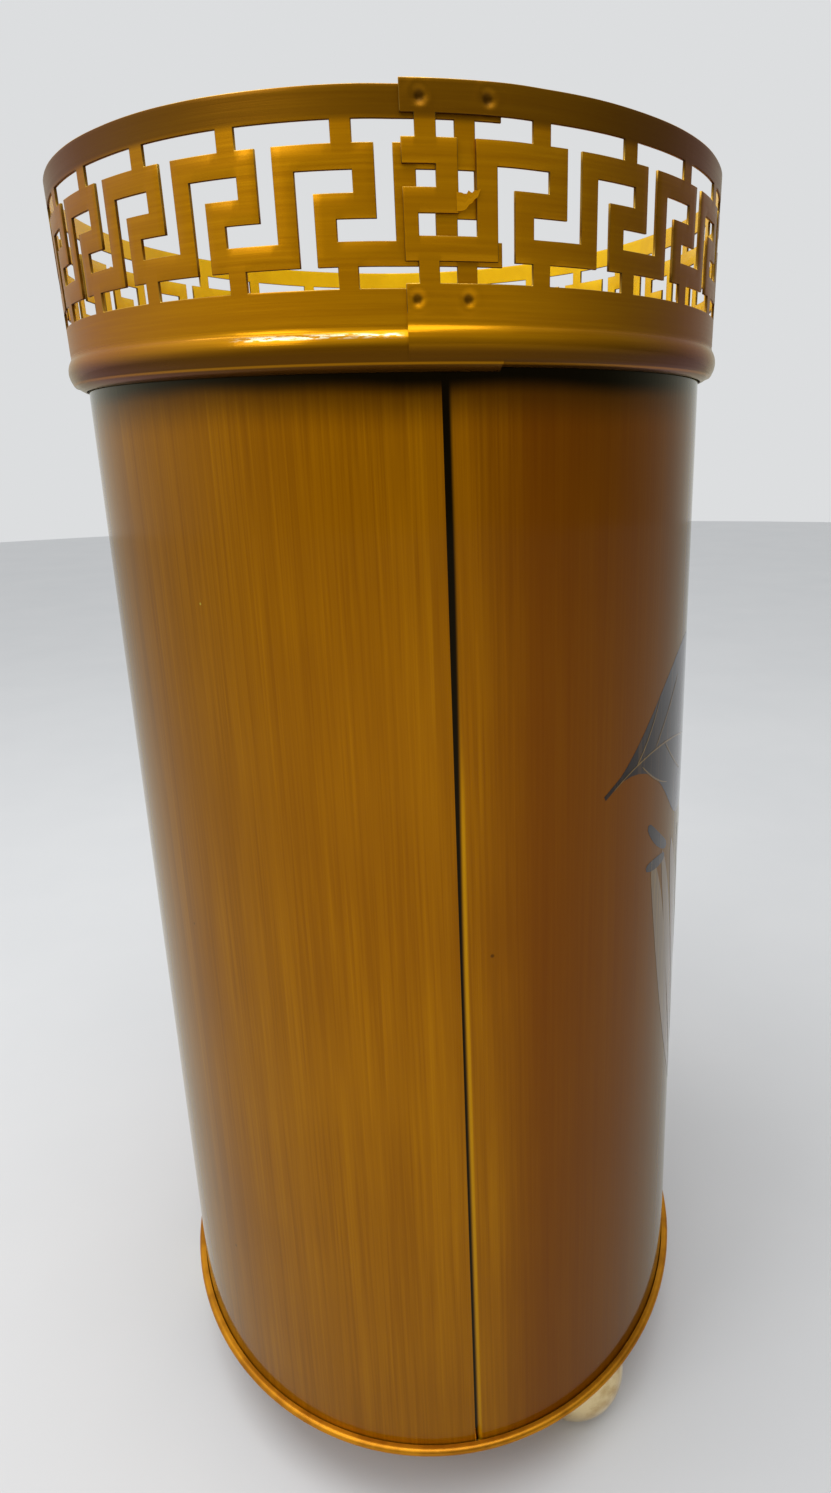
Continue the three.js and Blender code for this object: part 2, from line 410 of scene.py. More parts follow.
@dataclass(frozen=True)
class PaintedShadeStretch(SheetMark):
    """Painted shade: a browner stretch of the sheet, from one distance along it to another."""

    start: float
    full: float
    ease: float
    stop: float
    share: float = 0.75
    brown: Paint = colour(0.23, 0.04, 0.0002)

    def layers(self, bench: NodeBench, spot: Spot) -> Layers:
        """Painted shade in brown that comes in from start to full and goes from ease to stop.

        Args:
            bench: the material's nodes.
            spot: the shaded point's place.

        Returns:
            Share and colour of each layer.
        """
        # painted shade: the stretch right of the seam, away from the light at the left, is browned
        coming = bench.rise(spot.along, self.start, self.full)
        going = bench.maths("SUBTRACT", 1.0, bench.rise(spot.along, self.ease, self.stop))
        return [(bench.times(coming, going, self.share), self.brown)]


@dataclass(frozen=True)
class PaintedShadeTop(SheetMark):
    """Painted shade in umber on the band above a level, and on the sheet's sides, most on the right one."""

    level: float
    blur: float = 1.2 * MM
    umber: Paint = colour(0.085, 0.03, 0.002)

    def layers(self, bench: NodeBench, spot: Spot) -> Layers:
        """Painted shade in umber on both sides, on the right side again, then on the band.

        Args:
            bench: the material's nodes.
            spot: the shaded point's place.

        Returns:
            Share and colour of each layer.
        """
        # painted shade: darker sides, a darker right side and a darker top band, where less light falls
        sides = bench.rise(bench.maths("ABSOLUTE", spot.x), 0.02, 0.12)
        right = bench.rise(spot.x, 0.01, 0.075)
        band = bench.rise(spot.z, self.level - self.blur, self.level + self.blur)
        return [
            (bench.times(sides, 0.4), self.umber),
            (bench.times(right, 0.65), self.umber),
            (bench.times(band, bench.line(sides, 0.25, 0.68)), self.umber),
        ]


@dataclass(frozen=True)
class WeldPitDarkening(SheetMark):
    """Darker round spots at the pits of the spot welds at the front."""

    pits: tuple[tuple[float, float], ...]
    edge: float = 1.7 * MM
    full: float = 0.6 * MM
    dirt_and_shade: Paint = colour(0.05, 0.018, 0.001)

    def layers(self, bench: NodeBench, spot: Spot) -> Layers:
        """A round spot at the x and z of each pit.

        Args:
            bench: the material's nodes.
            spot: the shaded point's place.

        Returns:
            Share and colour of each layer.
        """
        found = []
        for x, z in self.pits:
            apart = bench.add("VectorMath", {0: spot.place, 1: (x, 0.0, z)}, operation="SUBTRACT").outputs[0]
            flat = bench.add("VectorMath", {0: apart, 1: (1.0, 0.0, 1.0)}, operation="MULTIPLY").outputs[0]
            away = bench.add("VectorMath", {0: flat}, operation="LENGTH").outputs["Value"]
            found.append((bench.times(bench.rise(away, self.edge, self.full), spot.front, 0.8), self.dirt_and_shade))
        return found


@dataclass(frozen=True)
class BeadLightAndWear(SheetMark):
    """Painted shade on the bead's underside, a painted highlight along its hem and a patch rubbed bare at
    the front.
    """

    crown: float
    hem: Paint
    hem_below: float = 7.3 * MM
    shade_and_soil: Paint = colour(0.06, 0.018, 0.001)
    bare: Paint = colour(0.8, 0.7, 0.52)

    def layers(self, bench: NodeBench, spot: Spot) -> Layers:
        """Painted shade, then the hem's painted highlight over it, then the broken patch left of the lap.

        Args:
            bench: the material's nodes.
            spot: the shaded point's place.

        Returns:
            Share and colour of each layer.
        """
        under = bench.rise(spot.z, self.crown - 0.8 * MM, self.crown - 5.2 * MM)
        hem = bench.near(spot.z, self.crown - self.hem_below, 0.4 * MM, 0.1 * MM)
        patch = bench.times(
            bench.near(spot.z, self.crown - 1.0 * MM, 0.8 * MM, 0.2 * MM),
            bench.rise(spot.x, -52.0 * MM, -42.0 * MM),
            bench.rise(spot.x, -7.0 * MM, -10.0 * MM),
            spot.front,
        )
        grain = bench.noise(bench.stretched(spot.place, (260.0, 260.0, 2200.0)), 1.0)
        # painted shade under the crown, a painted highlight on the hem line, and a patch of real wear
        return [
            (bench.times(under, 0.9), self.shade_and_soil),
            (bench.times(hem, 0.45), self.hem),
            (bench.times(patch, bench.rise(grain, 0.46, 0.56)), self.bare),
        ]


@dataclass(frozen=True)
class SoilAndShadowLine(SheetMark):
    """Soil and the bead's painted shadow, which thicken from brown to black towards the sheet's top."""

    low: float
    high: float
    unevenness: float = 8.0 * MM
    brown: Paint = colour(0.1, 0.03, 0.0005)

    def layers(self, bench: NodeBench, spot: Spot) -> Layers:
        """Brown up to the high level, and black from just below it.

        Args:
            bench: the material's nodes.
            spot: the shaded point's place.

        Returns:
            Share and colour of each layer.
        """
        level = bench.maths("ADD", spot.up, bench.times(spot.cloud, self.unevenness))
        # the black is mostly the bead's painted shadow, laid over the soil
        black = bench.rise(level, self.high - 4.5 * MM, self.high + 0.5 * MM)
        return [(bench.times(bench.rise(level, self.low, self.high), 0.85), self.brown), (black, SOOT_AND_SHADE)]


@dataclass(frozen=True)
class SeamSootShadeAndHighlight(SheetMark):
    """Soot and painted shade in the step of the seam, with a painted highlight on the shoulder beside its
    lower part.
    """

    seam: float
    clear: float = 0.6 * MM
    widening: float = 1.2 * MM
    blur: float = 1.2 * MM
    shoulder: Paint = colour(0.92, 0.38, 0.004)

    def layers(self, bench: NodeBench, spot: Spot) -> Layers:
        """The shoulder's painted highlight, then the soot and painted shade, which are wider higher up.

        Args:
            bench: the material's nodes.
            spot: the shaded point's place.

        Returns:
            Share and colour of each layer.
        """
        inner = bench.line(bench.rise(spot.up, 0.22, 0.36), self.widening, self.seam + self.clear)
        outer = bench.maths("ADD", inner, self.blur)
        # soot and painted shade in the seam's step
        step = bench.times(
            bench.rise(spot.along, outer, inner),
            bench.maths("GREATER_THAN", spot.along, self.seam - 10.0 * MM),
        )
        # painted highlight on the shoulder, where the corner would catch the light from the left
        shoulder = bench.near(spot.along, outer, 1.1 * MM, 0.2 * MM)
        lower = bench.rise(spot.up, 0.31, 0.27)
        return [(bench.times(shoulder, lower, 0.7), self.shoulder), (step, SOOT_AND_SHADE)]


@dataclass(frozen=True)
class Finish:
    """A finish with a name of its own."""

    name: str

    def paint(self, bench: NodeBench) -> None:
        """Lays out the finish's nodes.

        Args:
            bench: a new material's nodes.
        """
        raise NotImplementedError


@dataclass(frozen=True)
class BrushedLacquer(Finish):
    """Tinted lacquer brushed over bright metal, antiqued with dark streaks, clear-coated."""

    brush: Brush
    base: Paint
    dark: Paint
    pale: Paint
    roughness: float = 0.34
    metal: float = 0.48
    coat: float = 0.9
    coat_index: float = 1.15
    coat_tint: Paint = colour(0.62, 0.72, 0.3)
    coat_roughness: float = 0.08
    rim_tint: Paint = colour(0.7, 0.36, 0.03)
    streak: float = 1.1 * MM
    band: float = 1.0 / 150.0
    sleek_below: float | None = None
    wear_and_light: tuple[SheetMark, ...] = ()

    def paint(self, bench: NodeBench) -> None:
        """Lays out fine streaks over broad ones, then the worn and dirty marks, painted shade and painted
        highlights, and the coat.

        Args:
            bench: a new material's nodes.
        """
        spot = Spot(bench)
        along, up = self.brush.value
        narrow = bench.stretched(spot.sheet, (along / self.streak, up / self.streak, 1.0))
        wide = bench.stretched(spot.sheet, (along / self.band, up / self.band, 1.0))
        fine = bench.noise(narrow, 1.0, 4.0)
        broad = bench.noise(wide, 1.0)
        tint = bench.maths("ADD", bench.times(fine, 0.6), bench.times(broad, 0.4))
        tint = bench.maths("ADD", tint, bench.times(spot.cloud, 0.3))
        mixed = bench.blend(bench.rise(tint, 0.5, 0.78), self.dark, self.base)
        mixed = bench.blend(bench.rise(tint, 0.68, 1.0), mixed, self.pale)
        # the marks include painted shade and painted highlights as well as real specks
        for mark in (Specks(), *self.wear_and_light):
            mixed = bench.lay_over(mixed, mark.layers(bench, spot))
        rough = bench.line(fine, 0.16, self.roughness - 0.08)
        if self.sleek_below is not None:
            dull = bench.rise(spot.z, self.sleek_below, self.sleek_below + 2.0 * MM)
            rough = bench.times(rough, bench.line(dull, 0.42, 0.58))
        bench.surface(
            {
                "Base Color": mixed,
                "Metallic": self.metal,
                "Roughness": rough,
                "Specular Tint": self.rim_tint,
                "Coat Weight": self.coat,
                "Coat IOR": self.coat_index,
                "Coat Tint": self.coat_tint,
                "Coat Roughness": self.coat_roughness,
            }
        )
        bench.bump(fine, 0.06 * MM, 0.6)


@dataclass(frozen=True)
class GoldLacquer(Finish):
    """Plain gold lacquer, glossy, a little uneven."""

    base: Paint
    shade: Paint
    roughness: float = 0.3
    metal: float = 0.85
    grain: float = 900.0
    # Painted shade: when switched on, faces that look down are darkened with the colour that follows.
    painted_shade_below: bool = False
    dirt_and_shade: Paint = colour(0.04, 0.014, 0.002)

    def paint(self, bench: NodeBench) -> None:
        """Lays out soft patches, painted shade on downward edges and a thin coat.

        Args:
            bench: a new material's nodes.
        """
        place = bench.add("TexCoord").outputs["Object"]
        patch = bench.noise(place, 60.0, 3.0)
        mixed = bench.blend(bench.rise(patch, 0.35, 0.62), self.shade, self.base)
        # painted shade on faces that look down
        if self.painted_shade_below:
            facing = bench.parts(bench.add("TexCoord").outputs["Normal"])[2]
            mixed = bench.blend(bench.rise(facing, -0.3, 0.4), self.dirt_and_shade, mixed)
        bench.surface(
            {
                "Base Color": mixed,
                "Metallic": self.metal,
                "Roughness": bench.line(patch, 0.2, self.roughness - 0.1),
                "Specular Tint": colour(0.8, 0.5, 0.1),
                "Coat Weight": 0.3,
                "Coat IOR": 1.2,
                "Coat Roughness": 0.12,
            }
        )
        bench.bump(bench.noise(place, self.grain, 2.0), 0.03 * MM, 0.5)


@dataclass(frozen=True)
class PlatedMetal(Finish):
    """Bare or plated metal with turning marks and dull spots."""

    base: Paint
    shade: Paint
    roughness: float
    rings: float = 2600.0

    def paint(self, bench: NodeBench) -> None:
        """Lays out the dull spots and the turning marks.

        Args:
            bench: a new material's nodes.
        """
        place = bench.add("TexCoord").outputs["Object"]
        dull = bench.noise(place, 120.0, 4.0)
        bench.surface(
            {
                "Base Color": bench.blend(bench.rise(dull, 0.42, 0.7), self.base, self.shade),
                "Metallic": 1.0,
                "Roughness": bench.line(dull, 0.18, self.roughness - 0.08),
            }
        )
        bench.bump(bench.noise(bench.stretched(place, (40.0, 40.0, self.rings)), 1.0, 2.0), 0.02 * MM, 0.6)


@dataclass(frozen=True)
class PrintInk(Finish):
    """Printed decoration that lies under the clear coat, worn thin in places."""

    ink: Paint
    thin: Paint

    def paint(self, bench: NodeBench) -> None:
        """Lays out the ink, its thin places and the coat.

        Args:
            bench: a new material's nodes.
        """
        place = bench.add("TexCoord").outputs["Object"]
        worn = bench.noise(bench.stretched(place, (700.0, 700.0, 26.0)), 1.0, 3.0)
        bench.surface(
            {
                "Base Color": bench.blend(bench.rise(worn, 0.5, 0.75), self.ink, self.thin),
                "Metallic": 0.2,
                "Roughness": 0.4,
                "Specular IOR Level": 0.1,
                "Coat Weight": 0.9,
                "Coat IOR": 1.16,
                "Coat Roughness": 0.08,
            }
        )
        bench.bump(worn, 0.02 * MM, 0.4)


@cache
def made(finish: Finish) -> bpy.types.Material:
    """A finish's material, which is made only once.

    Args:
        finish: the finish.

    Returns:
        Its material.
    """
    material = bpy.data.materials.new(finish.name)
    finish.paint(NodeBench(material, "Principled BSDF"))
    return material


BODY_LACQUER = BrushedLacquer(
    "body_lacquer",
    Brush.UPRIGHT,
    base=colour(0.56, 0.178, 0.0002),
    dark=colour(0.42, 0.122, 0.0002),
    pale=colour(0.73, 0.26, 0.0006),
)
GALLERY_LACQUER = BrushedLacquer(
    "gallery_lacquer",
    Brush.LENGTHWISE,
    base=colour(0.62, 0.25, 0.001),
    dark=colour(0.54, 0.205, 0.0008),
    pale=colour(0.74, 0.33, 0.004),
    metal=0.6,
    coat=0.3,
    coat_roughness=0.2,
)
# A lighter copy of the gallery lacquer for the burr: painted light, since the burr renders darker than its
# neighbours.
BURR_LIGHTENED_LACQUER = replace(
    GALLERY_LACQUER,
    name="burr_lightened_lacquer",
    base=colour(0.85, 0.35, 0.003),
    dark=colour(0.7, 0.27, 0.002),
    pale=colour(1.0, 0.5, 0.02),
)
INSIDE_GOLD = GoldLacquer(
    "inside_gold", base=colour(0.84, 0.53, 0.004), shade=colour(0.76, 0.46, 0.003), roughness=0.5, metal=0.1
)
RIM_GOLD = GoldLacquer(
    "rim_gold", base=colour(0.6, 0.25, 0.012), shade=colour(0.4, 0.15, 0.008), roughness=0.42
)
# The cut edges' lighter gold is partly bare metal and partly painted highlight; their downward faces get
# painted shade.
EDGE_GOLD = GoldLacquer(
    "edge_gold",
    base=colour(0.85, 0.52, 0.08),
    shade=colour(0.5, 0.24, 0.02),
    roughness=0.34,
    painted_shade_below=True,
)
POLISHED_BRASS = PlatedMetal(
    "polished_brass", base=colour(0.83, 0.66, 0.36), shade=colour(0.6, 0.42, 0.18), roughness=0.16
)
ZINC_PLATE = PlatedMetal(
    "zinc_plate", base=colour(0.62, 0.6, 0.55), shade=colour(0.42, 0.4, 0.36), roughness=0.34
)
DARK_INK = PrintInk("dark_ink", ink=colour(0.014, 0.007, 0.003), thin=colour(0.06, 0.028, 0.006))
GREY_INK = PrintInk("grey_ink", ink=colour(0.14, 0.085, 0.025), thin=colour(0.22, 0.13, 0.03))


# ---- the oval and its sheets ---------------------------------------------------------------------------


@dataclass(frozen=True)
class Oval:
    """The body's outside, with its narrow end at -Y."""

    half_width: float
    half_depth: float

    def spots(self, angle: np.ndarray, out: np.ndarray) -> tuple[np.ndarray, np.ndarray]:
        """Points moved outwards at right angles to the oval.

        Args:
            angle: turn from the narrow end towards +X.
            out: distance outwards.

        Returns:
            Their x and y.
        """
        across = self.half_depth * np.sin(angle)
        along = -self.half_width * np.cos(angle)
        length = np.hypot(across, along)
        x = self.half_width * np.sin(angle) + out * across / length
        y = -self.half_depth * np.cos(angle) + out * along / length
        return x, y


class Girth:
    """Distances round the oval at one offset, from the middle of the narrow end towards +X."""

    PIECES = 4096

    def __init__(self, oval: Oval, out: float) -> None:
        """Measures the girth.

        Args:
            oval: the oval.
            out: offset at which distances are counted.
        """
        self.oval = oval
        self.angles = np.linspace(0.0, 2.0 * math.pi, self.PIECES + 1)
        x, y = oval.spots(self.angles, out)
        self.lengths = np.concatenate(([0.0], np.cumsum(np.hypot(np.diff(x), np.diff(y)))))
        self.total = float(self.lengths[-1])

    def angle_at(self, distance: np.ndarray) -> np.ndarray:
        """The turn at each distance, which may run past a full round.

        Args:
            distance: distances along the oval.

        Returns:
            The turns in radians.
        """
        turns = np.floor(distance / self.total)
        rest = distance - turns * self.total
        return np.interp(rest, self.lengths, self.angles) + 2.0 * math.pi * turns

    def places(self, distance: np.ndarray, out: np.ndarray, height: np.ndarray) -> np.ndarray:
        """Points in the row frame.

        Args:
            distance: distances along the oval.
            out: offsets outwards.
            height: heights.

        Returns:
            An array of points whose last axis is x, y, z.
        """
        x, y = self.oval.spots(self.angle_at(distance), out)
        return np.stack(np.broadcast_arrays(x, y, height), axis=-1)


@dataclass
class SectionPath:
    """The middle line of a bent sheet's section, as points of offset and height."""

    points: list[tuple[float, float]] = field(default_factory=list)

    def to(self, out: float, height: float, pieces: int = 1) -> "SectionPath":
        """Goes straight on to a point.

        Args:
            out: its offset.
            height: its height.
            pieces: stops on the way.

        Returns:
            The path itself.
        """
        if not self.points:
            self.points.append((out, height))
            return self
        a, b = self.points[-1]
        for i in range(1, pieces + 1):
            share = i / pieces
            self.points.append((a + (out - a) * share, b + (height - b) * share))
        return self

    def bend(
        self, middle: tuple[float, float], radius: float, start: float, end: float, pieces: int
    ) -> "SectionPath":
        """Goes on along an arc.

        Args:
            middle: centre of the arc.
            radius: its radius.
            start: first angle in degrees, from outwards to up.
            end: last angle.
            pieces: flats in the arc.

        Returns:
            The path itself.
        """
        for i in range(pieces + 1):
            turn = math.radians(start + (end - start) * i / pieces)
            self.points.append((middle[0] + radius * math.cos(turn), middle[1] + radius * math.sin(turn)))
        return self

    def faces(self, thick: float) -> tuple[np.ndarray, np.ndarray]:
        """The two faces of the sheet.

        Args:
            thick: the sheet's thickness.

        Returns:
            Points of the face to the right of the path, and of the one to its left.
        """
        line = np.array(self.points)
        steps = np.diff(line, axis=0)
        steps /= np.linalg.norm(steps, axis=1)[:, None]
        before = np.vstack((steps[:1], steps))
        after = np.vstack((steps, steps[-1:]))
        mean = before + after
        length = np.linalg.norm(mean, axis=1)[:, None]
        mean /= length
        right = np.stack((mean[:, 1], -mean[:, 0]), axis=1)
        sharpest = 0.6  # stops a sharp bend's corner from reaching far out
        reach = thick / 2.0 / np.maximum(length / 2.0, sharpest)
        return line + right * reach, line - right * reach


class SheetGrid:
    """A thin sheet as a grid of cells, some of them pierced."""

    def __init__(
        self, name: str, face: np.ndarray, back: np.ndarray, along: np.ndarray, up: np.ndarray
    ) -> None:
        """Takes the grid's corners.

        Args:
            name: name of the piece.
            face: outside corners, rows by columns by 3.
            back: inside corners.
            along: the sheet's own distance at each column.
            up: the sheet's own height at each row.
        """
        self.name = name
        self.face = face
        self.back = back
        self.along = along
        self.up = up
        self.keep = np.ones((face.shape[0] - 1, face.shape[1] - 1), dtype=bool)

    def build(self, closed: bool = False) -> bpy.types.Object:
        """Makes the closed mesh of every kept cell, with its places on the sheet as the UV map "sheet".

        Args:
            closed: True if the last column of corners is the first one again.

        Returns:
            The new object.
        """
        rows, columns = self.face.shape[:2]
        wrap = columns - 1 if closed else columns
        numbers: dict[tuple[int, int, int], int] = {}
        points: list[tuple[float, float, float]] = []
        faces: list[list[int]] = []
        maps: list[tuple[float, float]] = []
        slots: list[int] = []
        layers = (self.face, self.back)

        def corner(layer: int, row: int, column: int) -> int:
            """The vertex of one corner, made when first needed.

            Args:
                layer: 0 for the face, 1 for the back.
                row: the corner's row.
                column: its column.

            Returns:
                The vertex's number.
            """
            key = (layer, row, column % wrap)
            if key not in numbers:
                numbers[key] = len(points)
                points.append(tuple(layers[layer][row, column % wrap]))
            return numbers[key]

        def quad(corners: list[tuple[int, int, int]], slot: Layer) -> None:
            """Adds one face.

            Args:
                corners: layer, row and column of each of its corners.
                slot: its material slot.
            """
            faces.append([corner(*c) for c in corners])
            maps.extend((self.along[c], self.up[r]) for _, r, c in corners)
            slots.append(slot.value)

        def kept(row: int, column: int) -> bool:
            """Whether a cell is there and is metal.

            Args:
                row: its row.
                column: its column.

            Returns:
                True if it is.
            """
            if closed:
                column %= columns - 1
            inside = 0 <= row < rows - 1 and 0 <= column < columns - 1
            return inside and bool(self.keep[row, column])

        for r, c in zip(*np.nonzero(self.keep)):
            r, c = int(r), int(c)
            quad([(0, r, c), (0, r, c + 1), (0, r + 1, c + 1), (0, r + 1, c)], Layer.FACE)
            quad([(1, r, c), (1, r + 1, c), (1, r + 1, c + 1), (1, r, c + 1)], Layer.BACK)
            if not kept(r - 1, c):
                quad([(0, r, c + 1), (0, r, c), (1, r, c), (1, r, c + 1)], Layer.EDGE)
            if not kept(r + 1, c):
                quad([(0, r + 1, c), (0, r + 1, c + 1), (1, r + 1, c + 1), (1, r + 1, c)], Layer.EDGE)
            if not kept(r, c - 1):
                quad([(0, r, c), (0, r + 1, c), (1, r + 1, c), (1, r, c)], Layer.EDGE)
            if not kept(r, c + 1):
                quad([(0, r + 1, c + 1), (0, r, c + 1), (1, r, c + 1), (1, r + 1, c + 1)], Layer.EDGE)

        mesh = bpy.data.meshes.new(self.name)
        mesh.from_pydata(points, [], faces)
        layer = mesh.uv_layers.new(name="sheet")
        layer.data.foreach_set("uv", np.array(maps, dtype=np.float32).ravel())
        mesh.polygons.foreach_set("material_index", slots)
        return placed(self.name, mesh)


def placed(name: str, mesh: bpy.types.Mesh, sharp: float = 40.0) -> bpy.types.Object:
    """Puts a mesh in the scene, shaded smooth but for its sharp edges.

    Args:
        name: name of the piece.
        mesh: its mesh.
        sharp: angle in degrees above which an edge stays sharp.

    Returns:
        The new object.
    """
    mesh.shade_smooth()
    mesh.set_sharp_from_angle(angle=math.radians(sharp))
    piece = bpy.data.objects.new(name, mesh)
    bpy.context.scene.collection.objects.link(piece)
    return piece


def soften(piece: bpy.types.Object, width: float, above: float, angle: float = 50.0) -> None:
    """Rounds a piece's sharp edges and keeps the result.

    Args:
        piece: the piece.
        width: width of the rounding.
        above: only edges higher than this are rounded.
        angle: edges sharper than this, in degrees, are rounded.
    """
    work = bmesh.new()
    work.from_mesh(piece.data)
    weight = work.edges.layers.float.new("bevel_weight_edge")
    for edge in work.edges:
        high = min(corner.co.z for corner in edge.verts) > above
        if high and edge.calc_face_angle(0.0) > math.radians(angle):
            edge[weight] = 1.0
    work.to_mesh(piece.data)
    work.free()
    rounding = piece.modifiers.new("rounding", "BEVEL")
    rounding.width = width
    rounding.segments = 2
    rounding.limit_method = "WEIGHT"
    rounding.use_clamp_overlap = False
    rounding.material = Layer.EDGE.value if len(piece.data.materials) > Layer.EDGE.value else -1
    keep_shape(piece)


def keep_shape(piece: bpy.types.Object) -> None:
    """Turns a piece's modifiers into its own mesh.

    Args:
        piece: the piece.
    """
    evaluated = piece.evaluated_get(bpy.context.evaluated_depsgraph_get())
    mesh = bpy.data.meshes.new_from_object(evaluated)
    piece.modifiers.clear()
    old = piece.data
    piece.data = mesh
    bpy.data.meshes.remove(old)
    mesh.shade_smooth()
    mesh.set_sharp_from_angle(angle=math.radians(40.0))


def turned(name: str, profile: list[tuple[float, float]], centre: Vector, sides: int) -> bpy.types.Object:
    """A turned piece.

    Args:
        name: name of the piece.
        profile: radius and height from the bottom of the axis to the top of it.
        centre: where its axis stands.
        sides: flats round it.

    Returns:
        The new object, with its origin on its axis.
    """
    work = bmesh.new()
    line = [work.verts.new((radius, 0.0, height)) for radius, height in profile]
    edges = [work.edges.new(pair) for pair in zip(line, line[1:])]
    bmesh.ops.spin(
        work,
        geom=line + edges,
        cent=(0.0, 0.0, 0.0),
        axis=(0.0, 0.0, 1.0),
        angle=2.0 * math.pi,
        steps=sides,
        use_merge=True,
    )
    bmesh.ops.remove_doubles(work, verts=work.verts, dist=1e-6)
    bmesh.ops.recalc_face_normals(work, faces=work.faces)
    mesh = bpy.data.meshes.new(name)
    work.to_mesh(mesh)
    work.free()
    piece = placed(name, mesh)
    piece.location = (centre.x, centre.y, 0.0)
    return piece


def dress(piece: bpy.types.Object, slot: str, nodes: list[str], *materials: bpy.types.Material) -> None:
    """Gives a piece its materials and its body, and hides the CAD nodes it stands for.

    Args:
        piece: the piece.
        slot: not used.
        nodes: CAD nodes that it replaces.
        materials: its materials in slot order, or none if it has them already.
    """
    for material in materials:
        piece.data.materials.append(material)
    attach(piece, ROOT)
    if nodes:
        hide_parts(*nodes)


# ---- body ----------------------------------------------------------------------------------------------


@dataclass
class Body:
    """The rolled sheet with its lapped seam, bottom flange and curled top edge."""

    girth: Girth
    bottom: float
    bead_centre: float
    thick: float = 0.8 * MM
    seam: float = 1.6 * MM
    tongue: float = 8.0 * MM
    step: float = 1.0 * MM
    flange: float = 2.0 * MM
    corner: float = 0.9 * MM
    curl_radius: float = 5.5 * MM
    curl_inset: float = 0.8 * MM
    curl_end: float = -15.0
    joggle: float = 2.2 * MM
    joggle_at_top: float = 8.2 * MM
    widens_from: float = 240.0 * MM
    widens_to: float = 360.0 * MM
    edge_roll: float = 0.12 * MM
    wave: float = 0.1 * MM
    wave_length: float = 130.0 * MM
    soil_and_shadow_below: float = 17.0 * MM
    soot_and_shadow_below: float = 3.0 * MM
    gap: float = 0.3 * MM
    wall_rows: int = 72
    stride: float = 2.2 * MM
    fine_stride: float = 0.4 * MM
    fine_reach: float = 18.0 * MM

    def section(self) -> SectionPath:
        """The sheet's section from the flange's edge to the end of the curl.

        Returns:
            The path, and with it the rows of the grid.
        """
        half = self.thick / 2.0
        low = self.bottom + half
        inside = self.corner - half
        path = SectionPath()
        path.to(self.flange, low).to(inside, low, 3)
        path.bend((inside, low + self.corner), self.corner, 270.0, 180.0, 6)
        path.to(-half, self.bead_centre, self.wall_rows)
        middle = (-self.curl_inset, self.bead_centre)
        radius = self.curl_radius - half
        start = math.acos((self.curl_inset - half) / radius)
        path.to(-half, self.bead_centre + radius * math.sin(start), 2)
        path.bend(middle, radius, math.degrees(start) - 6.0, self.curl_end, 14)
        return path

    def columns(self) -> np.ndarray:
        """Distances of the grid's columns from the tongue's edge to the sheet's free edge.

        Returns:
            The distances, closer together by the seam.
        """
        finish = self.girth.total + self.seam
        fine = self.fine_stride
        first = np.arange(self.seam - self.tongue, self.seam + self.fine_reach, fine)
        last = np.arange(finish - self.fine_reach / 2.0, finish, fine)
        middle = np.arange(first[-1] + self.stride, last[0], self.stride)
        return np.concatenate((first, middle, last, [finish]))

    def set_out(self, along: np.ndarray, height: np.ndarray) -> np.ndarray:
        """How far each corner stands out of the oval: the seam's step, wider near the top, and waves.

        Args:
            along: distances of the columns.
            height: heights of the rows, as a column of numbers.

        Returns:
            The offsets, rows by columns.
        """
        top = smooth(height, self.widens_from, self.widens_to)
        start = self.seam + (0.5 + 1.0 * top) * MM
        width = self.joggle + (self.joggle_at_top - self.joggle) * top
        climb = smooth((along - start) / width, 0.0, 1.0)
        sunk = -(self.step + 0.2 * MM * top) * (1.0 - climb)
        finish = self.girth.total + self.seam
        roll = -self.edge_roll * smooth(along, finish - 1.2 * MM, finish)
        even_ends = smooth(height, 50.0 * MM, 120.0 * MM) * (1.0 - smooth(height, 330.0 * MM, 390.0 * MM))
        waves = self.wave * ripple(along, self.wave_length, 5) * even_ends
        return sunk + roll + waves

    def build(self) -> bpy.types.Object:
        """Makes and dresses the body.

        Returns:
            The piece.
        """
        path = self.section()
        face, back = path.faces(self.thick)
        along = self.columns()
        height = np.array(path.points)[:, 1]
        shift = self.set_out(along[None, :], height[:, None])
        outer = self.girth.places(along[None, :], face[:, :1] + shift, face[:, 1:])
        inner = self.girth.places(along[None, :], back[:, :1] + shift, back[:, 1:])
        grid = SheetGrid("body", outer, inner, along, height)
        under = along[:-1] < self.seam + self.gap
        wall = (height[:-1] > self.bottom + 2.0 * self.thick) & (height[1:] <= self.bead_centre)
        wall[np.argmax(height):] = False
        grid.keep &= ~(under[None, :] & ~wall[:, None])
        piece = grid.build()
        # soil with the bead's painted shadow below the curl, painted shade right of the seam, and soot,
        # painted shade and a painted highlight at the seam
        shade_and_soil = SoilAndShadowLine(self.bead_centre - self.soil_and_shadow_below, self.bead_centre - self.soot_and_shadow_below)
        shade = PaintedShadeStretch(start=1.0 * MM, full=30.0 * MM, ease=120.0 * MM, stop=200.0 * MM)
        lacquer = replace(BODY_LACQUER, wear_and_light=(shade, shade_and_soil, SeamSootShadeAndHighlight(self.seam)))
        dress(piece, "body_lacquer", ["body_tube"], made(lacquer), made(INSIDE_GOLD), made(EDGE_GOLD))
        return piece


# ---- gallery -------------------------------------------------------------------------------------------


class Band(Enum):
    """The plain bands above and below the gallery's key pattern."""

    TOP = "top"
    FOOT = "foot"


